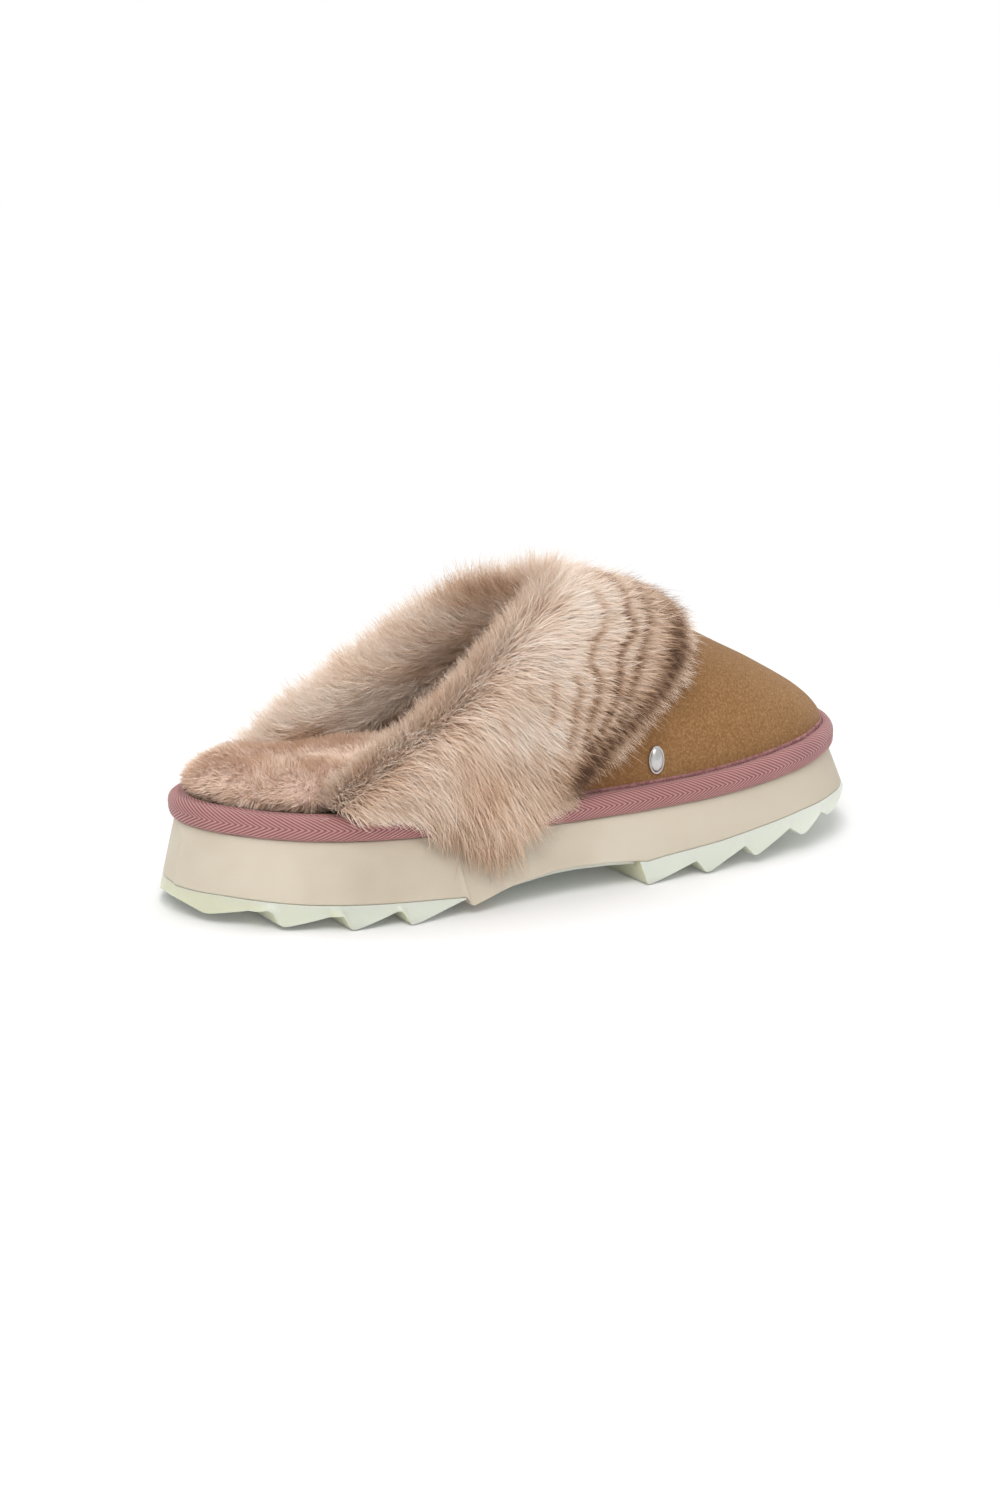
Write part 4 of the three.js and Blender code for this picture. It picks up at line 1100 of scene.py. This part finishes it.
def colours(p, inside, tip, base, r):
    """Palette place u and warmth v for strand points p (n, k, 3); inside (n,), tip (k,), base (n,) noise per strand."""
    x, z = p[..., 0] + 0.9 * wob1(p), p[..., 2] + 0.9 * wob2(p)
    u = np.full(x.shape, 0.15) + 0.07 * wob3(p) + 0.04 * fine1(p)
    v = np.full(x.shape, 0.42) - 0.10 * wob1(p * 0.7)
    out = np.zeros(x.shape)
    for pts, width, dark in BARS_OUT:
        d, run = polyline_gap(x, z, pts)
        dash = 0.78 + 0.22 * np.sin(run * 2 * math.pi / 3.4 + pts[0][0] + 2.0 * wob1(p))
        out = np.maximum(out, dark * dash * np.exp(-((d / width) ** 2)))
    warm = np.zeros(x.shape)
    for cx, cz, rx, rz, dark, w in ZONES_OUT:
        g = np.exp(-(((x - cx) / rx) ** 2 + ((z - cz) / rz) ** 2))
        out = out + dark * g
        warm += w * g
    inn, wi = np.zeros(x.shape), np.zeros(x.shape)
    for cx, cz, rx, rz, dark, w in ZONES_IN:
        g = np.exp(-(((x - cx) / rx) ** 2 + ((z - cz) / rz) ** 2))
        inn = inn + dark * g
        wi += w * g
    s = inside[:, None]
    u = u + out * (1 - s) + inn * s
    v = v - 0.42 * (warm * (1 - s) + wi * s)
    u = u + base[:, None]
    # painted shade darkens the outside pile towards its roots and painted light makes the inside pile paler; the pile
    # is pale along its length and carries darker tips here and there
    u = u - 0.15 * s + (0.10 - 0.10 * s) * (1 - np.clip(tip[None] / 0.3, 0, 1)) - 0.06 * np.exp(-(((tip[None] - 0.7) / 0.25) ** 2))
    return np.clip(u, 0, 1), np.clip(v, 0.02, 0.98)


def grow(name, count, seed, length, width, lift, stiff, clump, per, dark_tip, parts, weight, k_=7, base_noise=0.06, curl=0.6):
    pos, no, to, k, ph, r = sample_roots(count, weight, seed)
    rd = at_root(rim_dist, k, ph)
    height = np.clip((pos[:, 2] - 34) / 62, 0, 1)
    medial = (ph > math.pi / 2) * 1.0
    inside = 1 / (1 + np.exp(-(rd - 1.0 + 7.0 * medial) / 1.2))
    down = np.array([0, 0, -1.0]) - no * (-no[:, 2:3])
    down = unit(down)
    fwd_amt = np.clip(-rd / 10, 0, 1)                                  # 0 at the rim, 1 well outside
    hang = np.exp(-(((pos[:, 0] + 49) / 21) ** 4))                     # only here does the pile hang over the tape
    alpha = np.radians(12 + (30 + 46 * hang) * (1 - height) ** 1.1) * fwd_amt
    cross_amt = np.sin(alpha)[:, None]
    tangent = unit(to * np.cos(alpha)[:, None] + down * cross_amt + r.normal(0, 0.22, (count, 3)))
    tangent = unit(tangent - no * (tangent * no).sum(1, keepdims=True))
    rim_up = np.exp(-((rd / 6.0) ** 2))
    lateral_rim = rim_up * (ph < math.pi / 2)
    lift_a = np.radians(lift) * (0.75 + 0.5 * r.uniform(0, 1, count)) + np.radians(34) * rim_up
    back = np.array([-0.75, 0.0, 0.45])
    L = length * r.uniform(0.7, 1.15, count) * (1 - 0.22 * np.clip(inside, 0, 1)) * (0.95 + 0.10 * wob3(pos))
    L = L * (1 - (1 - hang) * 0.30 * np.clip(1 - (pos[:, 2] - 34) / 16, 0, 1)) * (1 + (0.35 * hang + 0.75 * np.exp(-(((pos[:, 0] + 47) / 12) ** 2))) * np.clip(1 - (pos[:, 2] - 34) / 16, 0, 1))
    low = np.clip((pos[:, 2] - 30) / 14, 0, 1)
    d0 = tangent * np.cos(lift_a)[:, None] + no * np.sin(lift_a)[:, None]
    d0 = unit(d0 + back * ((rim_up * 0.5 + 0.25 * inside) * (0.35 + 0.65 * medial))[:, None] + r.normal(0, 0.25, (count, 3)) * lateral_rim[:, None])
    d1 = unit(tangent * np.cos(lift_a * 0.35)[:, None] + no * np.sin(lift_a * 0.35)[:, None]
              + np.array([0, 0, -1.0]) * ((1 - stiff) * (0.35 + 0.65 * hang * (1 - height)) * (1 - 0.75 * rim_up))[:, None] + r.normal(0, 0.20, (count, 3)))
    d1 = unit(d1 + back * ((rim_up * 0.75 + 0.4 * inside) * (0.25 + 0.75 * medial))[:, None])
    dm = unit(d0 + d1)
    third = (L / 3)[:, None]
    c0 = pos - no * 0.25
    c1 = c0 + d0 * third
    c2 = c1 + dm * third
    c3 = c2 + d1 * third
    pts = catmull_rows(np.stack([c0, c1, c2, c3], 1), k_)
    pts, near = clumped(pts, pos, per, clump, seed + 1)
    t = np.linspace(0, 1, k_)
    swirl = r.normal(0, 1, (count, 3)) * curl
    pts = pts + swirl[:, None] * (np.sin(t * math.pi * 1.3)[None, :, None]) * (L / 20)[:, None, None]
    over = np.maximum(pts[..., 2] - 105.5, 0)
    pts[..., 2] = np.where(over > 0, 105.5 + 7 * np.tanh(over / 7), pts[..., 2])
    here = np.exp(-(((pts[..., 0] + 48) / 19) ** 6))
    floor_z = z_bind(pts[..., 0]) - 1.5 - 3 * r.uniform(0, 1, (count, 1)) ** 2 - 60 * here
    floor_z = np.where((pts[..., 0] > -30) & (pts[..., 0] < 0), floor_z - 3, floor_z)
    floor_z = np.maximum(floor_z, 9.5 + 9 * r.uniform(0, 1, (count, 1)) ** 2)                       # tips end well above the ground
    under = np.maximum(floor_z - pts[..., 2], 0)
    pts[..., 2] = np.where(under > 0, floor_z - 1.6 * np.tanh(under / 4), pts[..., 2])
    pts = GUARD.push(pts, 0.5 * r.uniform(0.2, 1, (count, 1)))
    cl = np.random.default_rng(seed + 2).normal(0, 0.07, count)[near]
    base = r.normal(0, base_noise, count) + cl
    u, v = colours(pts, inside, t, base, r)
    dark = (r.uniform(0, 1, count) < dark_tip)[:, None] * np.clip((t[None] - 0.55) / 0.45, 0, 1) ** 1.2
    u = np.clip(u + 0.36 * dark, 0, 1)
    v = np.clip(v + r.normal(0, 0.05, (count, 1)), 0.02, 0.98)
    w = width * r.uniform(0.7, 1.25, count)
    roll = r.uniform(-0.6, 0.6, count)
    return ribbons(name, pts, w, no, u, v, MAT_FUR, roll, parts=parts)


k_idx = np.broadcast_to(kk[None], (CUFF_PHI, INNER_K)).astype(float)
front_gap = -(rim_dist + 0)                                        # distance outside from the rim
from_edge = depth_from_front                                      # distance back from the front edge
edge_ok = np.clip((from_edge + 2.0) / 3.5, 0.0, 1.0) * (1 + 0.9 * np.exp(-((from_edge / 4) ** 2)))
inner_ok = np.where(rim_dist > 0, np.clip((rim_dist.max(1, keepdims=True) - rim_dist) / 5, 0.15, 1), 1)
W_ALL = edge_ok * inner_ok * (1 + 0.8 * np.exp(-((rim_dist / 9) ** 2)))
W_FAR = 1 + 2.2 * np.clip((phi[:, None] - math.pi / 2) / 0.3, 0, 1) * np.exp(-((rim_dist / 9) ** 2))
SHARE = 1.0
fur = []
fur += grow("fur_underwool", int(FUR_UNDER * SHARE), 101, 10.5, 0.40, 52, 0.8, 0.30, 24, 0.0, 3, W_ALL, k_=5)
fur += grow("fur_guard_hair", int(FUR_GUARD * SHARE), 201, 15.5, 0.30, 44, 0.62, 0.34, 20, 0.13, 5, W_ALL, k_=7)
fur += grow("fur_long_wisps", int(FUR_WISPS * SHARE), 301, 19.5, 0.22, 46, 0.7, 0.45, 12, 0.6, 1, W_ALL * W_FAR, k_=8, base_noise=0.1)

# ---------------------------------------------------------------- fleece footbed
ease = lambda a, b, x: (lambda t: t * t * (3 - 2 * t))(np.clip((x - a) / (b - a), 0, 1))


def inset(heel, fore, toe):
    return lambda x, y=0: -(heel + (fore - heel) * ease(-103, -95, x) + (toe - fore) * ease(50, 120, x))


def thin(h):
    return lambda x: z_top(x) + 11.3 + h * (1 - 0.66 * ease(30, 110, x))


def skirt(x):
    return z_top(x) + 11.3 - 2.5 * (1 - ease(0, 45, x))


S = 2.6                                                 # room left for the pad to swell and for its pile
pad = loft("insole_fleece_pad", [
    (ring(inset(10.0, 12.4, 21)), thin(0.2)), (ring(inset(8.6, 11.4, 20.6)), lambda x: skirt(x) + 0.6),
    (ring(inset(3.4, 10.8, 20.6)), lambda x: skirt(x) + 0.4), (ring(inset(2.2, 10.3, 20.4)), thin(0.2)),
    (ring(inset(2.7, 10.9, 21)), thin(3.4)), (ring(inset(5.4, 13.2, 23)), thin(6.5)), (ring(inset(11.5, 18.5, 28)), thin(8.0))],
    across=8, angle=180)
rm = pad.modifiers.new("remesh", "REMESH")
rm.mode, rm.voxel_size = "VOXEL", 0.0042
bpy.context.view_layer.objects.active = pad
with bpy.context.temp_override(object=pad, active_object=pad):
    bpy.ops.object.modifier_apply(modifier="remesh")
start = vertices_of(pad.data)
cl = pad.modifiers.new("cloth", "CLOTH")
cs = cl.settings
cs.quality, cs.mass, cs.tension_stiffness, cs.compression_stiffness, cs.bending_stiffness = 6, 0.3, 12, 12, 0.6
cs.use_pressure, cs.uniform_pressure_force = True, 3.5
cs.effector_weights.gravity = 0.0
cl.collision_settings.use_collision = False
cl.point_cache.frame_start, cl.point_cache.frame_end = 1, 20
for f in range(1, 21):
    scene.frame_set(f)
dg = bpy.context.evaluated_depsgraph_get()
ev = pad.evaluated_get(dg).to_mesh()
end = vertices_of(ev)
pad.evaluated_get(dg).to_mesh_clear()
move = end - start
far_m = np.linalg.norm(move, axis=1, keepdims=True)
cap = 0.0016
move *= np.minimum(1, cap / np.maximum(far_m, 1e-9))
low_z = place(np.stack([start[:, 0], start[:, 1], start[:, 2]], 1) * 0)[0, 2]
zt = z_top(start[:, 0] / MM - SHIFT[0]) * MM + 0.0113
move[:, 2] = np.where(start[:, 2] < zt + 0.0012, 0, move[:, 2])    # it stays flat where it rests
pad.modifiers.remove(cl)
scene.frame_set(1)
pad.data.vertices.foreach_set("co", (start + move).astype(np.float32).ravel())
pad.data.update()
# trodden hollows and a soft, uneven nap
co = vertices_of(pad.data)
raw = co / MM - SHIFT
up = np.clip((raw[:, 2] - z_top(raw[:, 0]) - 13.5) / 3, 0, 1)
hollow = 1.6 * np.exp(-(((raw[:, 0] + 92) / 26) ** 2 + (raw[:, 1] / 20) ** 2)) + 1.0 * np.exp(-(((raw[:, 0] - 40) / 34) ** 2 + (raw[:, 1] / 24) ** 2))
lump = 0.7 * waves(41, 16, 22.0)(raw) + 0.35 * waves(42, 22, 9.0)(raw)
raw[:, 2] += up * (lump - hollow)
pad.data.vertices.foreach_set("co", place(raw).astype(np.float32).ravel())
pad.data.update()
sub = pad.modifiers.new("round", "SUBSURF")
sub.levels = sub.render_levels = 1
pad.data.polygons.foreach_set("use_smooth", np.ones(len(pad.data.polygons), bool))
n = Nodes("fleece_backing")
v = n.coords()
tuft = n.noise(v, 380, 5, 0.7, 1.0)
c = n.ramp(n.noise(v, 26, 3), [(0.3, srgb(200, 168, 152)), (0.7, srgb(226, 200, 186))])
dress(pad, n.finish(n.mix(0.5, c, n.ramp(tuft, [(0.3, srgb(176, 142, 124)), (0.66, srgb(236, 214, 202))])), 0.95, n.bump(tuft, 0.9, 0.001),
                    **{"Sheen Weight": 0.4, "Specular IOR Level": 0.1}))

pv, pn = vertices_of(pad.data), normals_of(pad.data)
loops = np.zeros(len(pad.data.loops), np.int32)
pad.data.loops.foreach_get("vertex_index", loops)
pad.data.calc_loop_triangles()
tri = np.zeros(len(pad.data.loop_triangles) * 3, np.int32)
pad.data.loop_triangles.foreach_get("vertices", tri)
tri = tri.reshape(-1, 3)
A, B, C = pv[tri[:, 0]], pv[tri[:, 1]], pv[tri[:, 2]]
cen = (A + B + C) / 3 / MM - SHIFT
area_t = np.linalg.norm(np.cross(B - A, C - A), axis=1)
okz = cen[:, 2] > z_top(cen[:, 0]) + np.where(cen[:, 0] < 20, 9.4, 10.6)
weight_t = area_t * okz * np.where(cen[:, 0] > 30, 0.35, 1.0) * np.where(cen[:, 2] < z_top(cen[:, 0]) + 13, 1.5, 1.0)
count = int(PILE * SHARE)
r = np.random.default_rng(401)
pick = r.choice(len(tri), count, p=weight_t / weight_t.sum())
a, b = r.uniform(0, 1, (2, count))
flip = a + b > 1
a[flip], b[flip] = 1 - a[flip], 1 - b[flip]
root = (A[pick] + (B - A)[pick] * a[:, None] + (C - A)[pick] * b[:, None]) / MM - SHIFT
nn = unit(pn[tri[pick]].mean(1))
sw1, sw2 = waves(51, 14, 26.0), waves(52, 14, 26.0)
lean = np.stack([0.7 * sw1(root) - 0.45, 0.7 * sw2(root), np.zeros(count)], 1) * 1.0 + r.normal(0, 0.16, (count, 3))
lean = lean - nn * (lean * nn).sum(1, keepdims=True)
L = r.uniform(2.6, 4.3, count) * (1 - 0.4 * ease(30, 110, root[:, 0]))
d0 = unit(nn + 0.45 * lean)
d1 = unit(nn * 0.35 + 1.0 * lean)
c0 = root - nn * 0.3
c1 = c0 + d0 * (L / 3)[:, None]
c2 = c1 + unit(d0 + d1) * (L / 3)[:, None]
c3 = c2 + d1 * (L / 3)[:, None]
pts = catmull_rows(np.stack([c0, c1, c2, c3], 1), 5)
pts, near = clumped(pts, root, 16, 0.16, 402)
d_out, g_out = GUARD.look(pts)
over = np.maximum(d_out + 0.6, 0) * (pts[..., 2] < z_bind(pts[..., 0]) + 0.5)
pts[..., :2] -= g_out * over[..., None]
tt = np.linspace(0, 1, 5)
cl = np.random.default_rng(403).normal(0, 0.025, count)[near]
# painted shade darkens each pile strand towards its root
u = 0.20 + 0.05 * wob3(pts) + cl[:, None] + r.normal(0, 0.03, (count, 1)) + 0.12 * (1 - np.clip(tt[None] / 0.5, 0, 1))
tan_zone = np.exp(-(((root[:, 0] + 66) / 25) ** 2 + ((root[:, 1] + 34) / 16) ** 2))
u = u + 0.26 * tan_zone[:, None]
vv = 0.30 - 0.25 * tan_zone[:, None] + 0.08 * sw1(root)[:, None] + r.normal(0, 0.05, (count, 1)) + 0 * u
MAT_PILE = fur_material("fleece_pile", (1.0, 0.80, 0.70), (0.93, 0.93, 0.96))
ribbons("insole_fleece_pile", pts, 0.34 * r.uniform(0.7, 1.2, count), nn, np.clip(u, 0, 1), np.clip(vv, 0.02, 0.98), MAT_PILE,
        r.uniform(-0.7, 0.7, count), parts=3)

# ---------------------------------------------------------------- cushion under the fleece, badge and hidden layers
cushion = loft("insole_cushion_foam", [
    (ring(inset(9.9, 12.3, 16)), lambda x: z_top(x) + 7.3), (ring(inset(9.2, 11.6, 15.2)), lambda x: z_top(x) + 7.7),
    (ring(inset(9.0, 11.4, 15)), lambda x: z_top(x) + 8.6), (ring(inset(9.2, 11.6, 15.2)), lambda x: z_top(x) + 10.2),
    (ring(inset(10.2, 12.8, 16.4)), lambda x: z_top(x) + 10.9)], across=6, angle=180)
dress(cushion, foam_material("cushion_foam", srgb(232, 226, 206), srgb(206, 198, 176), srgb(242, 238, 224), 0.5))


def plain_fibre(name, dark, light, scale, bump, rough=0.9):
    n = Nodes(name)
    v = n.coords((1, 2.2, 1))
    f = n.noise(v, scale, 5, 0.7, 0.8)
    c = n.mix(0.5, n.ramp(n.noise(v, 25, 3), [(0.3, dark), (0.7, light)]), n.ramp(f, [(0.3, dark), (0.7, light)]))
    return n.finish(c, rough, n.bump(f, bump, 0.0004))


for node, mat in {
    "platform_core": foam_material("core_foam", srgb(214, 205, 190), srgb(190, 180, 164), srgb(228, 221, 208), 0.5),
    "insole_board": plain_fibre("fibre_board", srgb(150, 124, 90), srgb(196, 170, 132), 700, 0.3),
    "toe_puff": plain_fibre("stiffener_sheet", srgb(196, 190, 176), srgb(228, 224, 212), 500, 0.2, 0.75),
    "collar_stay_tape": plain_fibre("stay_tape", srgb(184, 170, 146), srgb(222, 210, 188), 900, 0.5),
}.items():
    dress(nodes[node], mat)
n = Nodes("brushed_silver")
v = n.coords((1, 1, 9))
f = n.noise(v, 1500, 4, 0.7)
dull = n.noise(n.coords(), 500, 4, 0.6)
c = n.mix(0.35, n.ramp(f, [(0.3, (0.50, 0.49, 0.48)), (0.7, (0.66, 0.65, 0.64))]), n.ramp(dull, [(0.35, (0.40, 0.39, 0.38)), (0.7, (0.68, 0.67, 0.66))]))
MAT_METAL = n.finish(c, n.scalar(dull, [(0.3, 0.24), (0.7, 0.36)]), n.bump(f, 0.12, 0.0001), **{"Metallic": 1.0})
dress(nodes["badge_washer"], MAT_METAL)


def badge():
    """Oval dome with a stepped rim and a post, on the lateral side of the upper."""
    x0, z0 = 22.7, 40.2
    lo, hi = 0.0, math.pi / 2
    for _ in range(50):
        mdl = (lo + hi) / 2
        if arch(x0, mdl, 0.0)[2] < z0:
            lo = mdl
        else:
            hi = mdl
    p = arch(x0, lo, 0.0)
    a = arch(x0 + 0.5, lo, 0.0) - arch(x0 - 0.5, lo, 0.0)
    b = arch(x0, lo + 0.01, 0.0) - arch(x0, lo - 0.01, 0.0)
    nn = unit(np.cross(a, b))
    if nn[1] > 0:
        nn = -nn
    upv = unit(np.array([0, 0, 1.0]) - nn * nn[2])
    sv = np.cross(upv, nn)
    prof = [(0.0, 0.36), (0.93, 0.36), (0.985, 0.40), (1.0, 0.52), (1.0, 0.80), (0.985, 0.92), (0.95, 0.98), (0.90, 0.96), (0.86, 0.90),
            (0.845, 0.98), (0.82, 1.12), (0.74, 1.42), (0.62, 1.72), (0.46, 1.98), (0.28, 2.14), (0.12, 2.22), (0.0, 2.24)]
    segs = 96
    th = np.linspace(0, 2 * math.pi, segs, endpoint=False)
    pts = []
    for q, h in prof:
        q = max(q, 1e-4)
        pts.append(p + sv * (3.1 * q * np.cos(th))[:, None] + upv * (4.95 * q * np.sin(th))[:, None] + nn * h)
    co = np.concatenate(pts)
    faces = grid_faces(len(prof), segs, wrap_cols=True)
    me = fast_mesh("badge_dome", place(co), faces)
    tidy(me, 1e-6, 40)
    dome = new_object("badge_dome", me)
    post = []
    for q, h in [(0.001, -3.0), (0.8, -3.0), (0.9, -2.9), (0.9, 0.36), (0.001, 0.36)]:
        post.append(p + sv * (q * np.cos(th[::4]))[:, None] + upv * (q * np.sin(th[::4]))[:, None] + nn * h)
    me2 = fast_mesh("badge_post", place(np.concatenate(post)), grid_faces(5, segs // 4, wrap_cols=True))
    tidy(me2, 1e-6, 40)
    return dome, new_object("badge_post", me2)


dome, post = badge()
dress(dome, MAT_METAL)
dress(post, MAT_METAL)

# ---------------------------------------------------------------- what rides and what stands for what
for piece, node, slot in (
    (midsole, "midsole", "midsole_foam"), (heel, "outsole_heel", "outsole_rubber"), (fore, "outsole_forefoot", "outsole_rubber"),
    (binding, "binding_tape", "binding_twill"), (stitches, "binding_stitch_thread", "thread"), (vamp, "vamp", "suede"),
    (lining, "vamp_lining", "lining_pile"), (pad, "insole_sheepskin", "plush_pile"), (cushion, "insole_cushion", "core_foam"),
    (cuff, "fur_collar", "fur"), (dome, "badge_cap", "badge_metal"), (post, None, "badge_metal"), (overlock, None, "thread")):
    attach(piece, "root")
    if node:
        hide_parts(node)
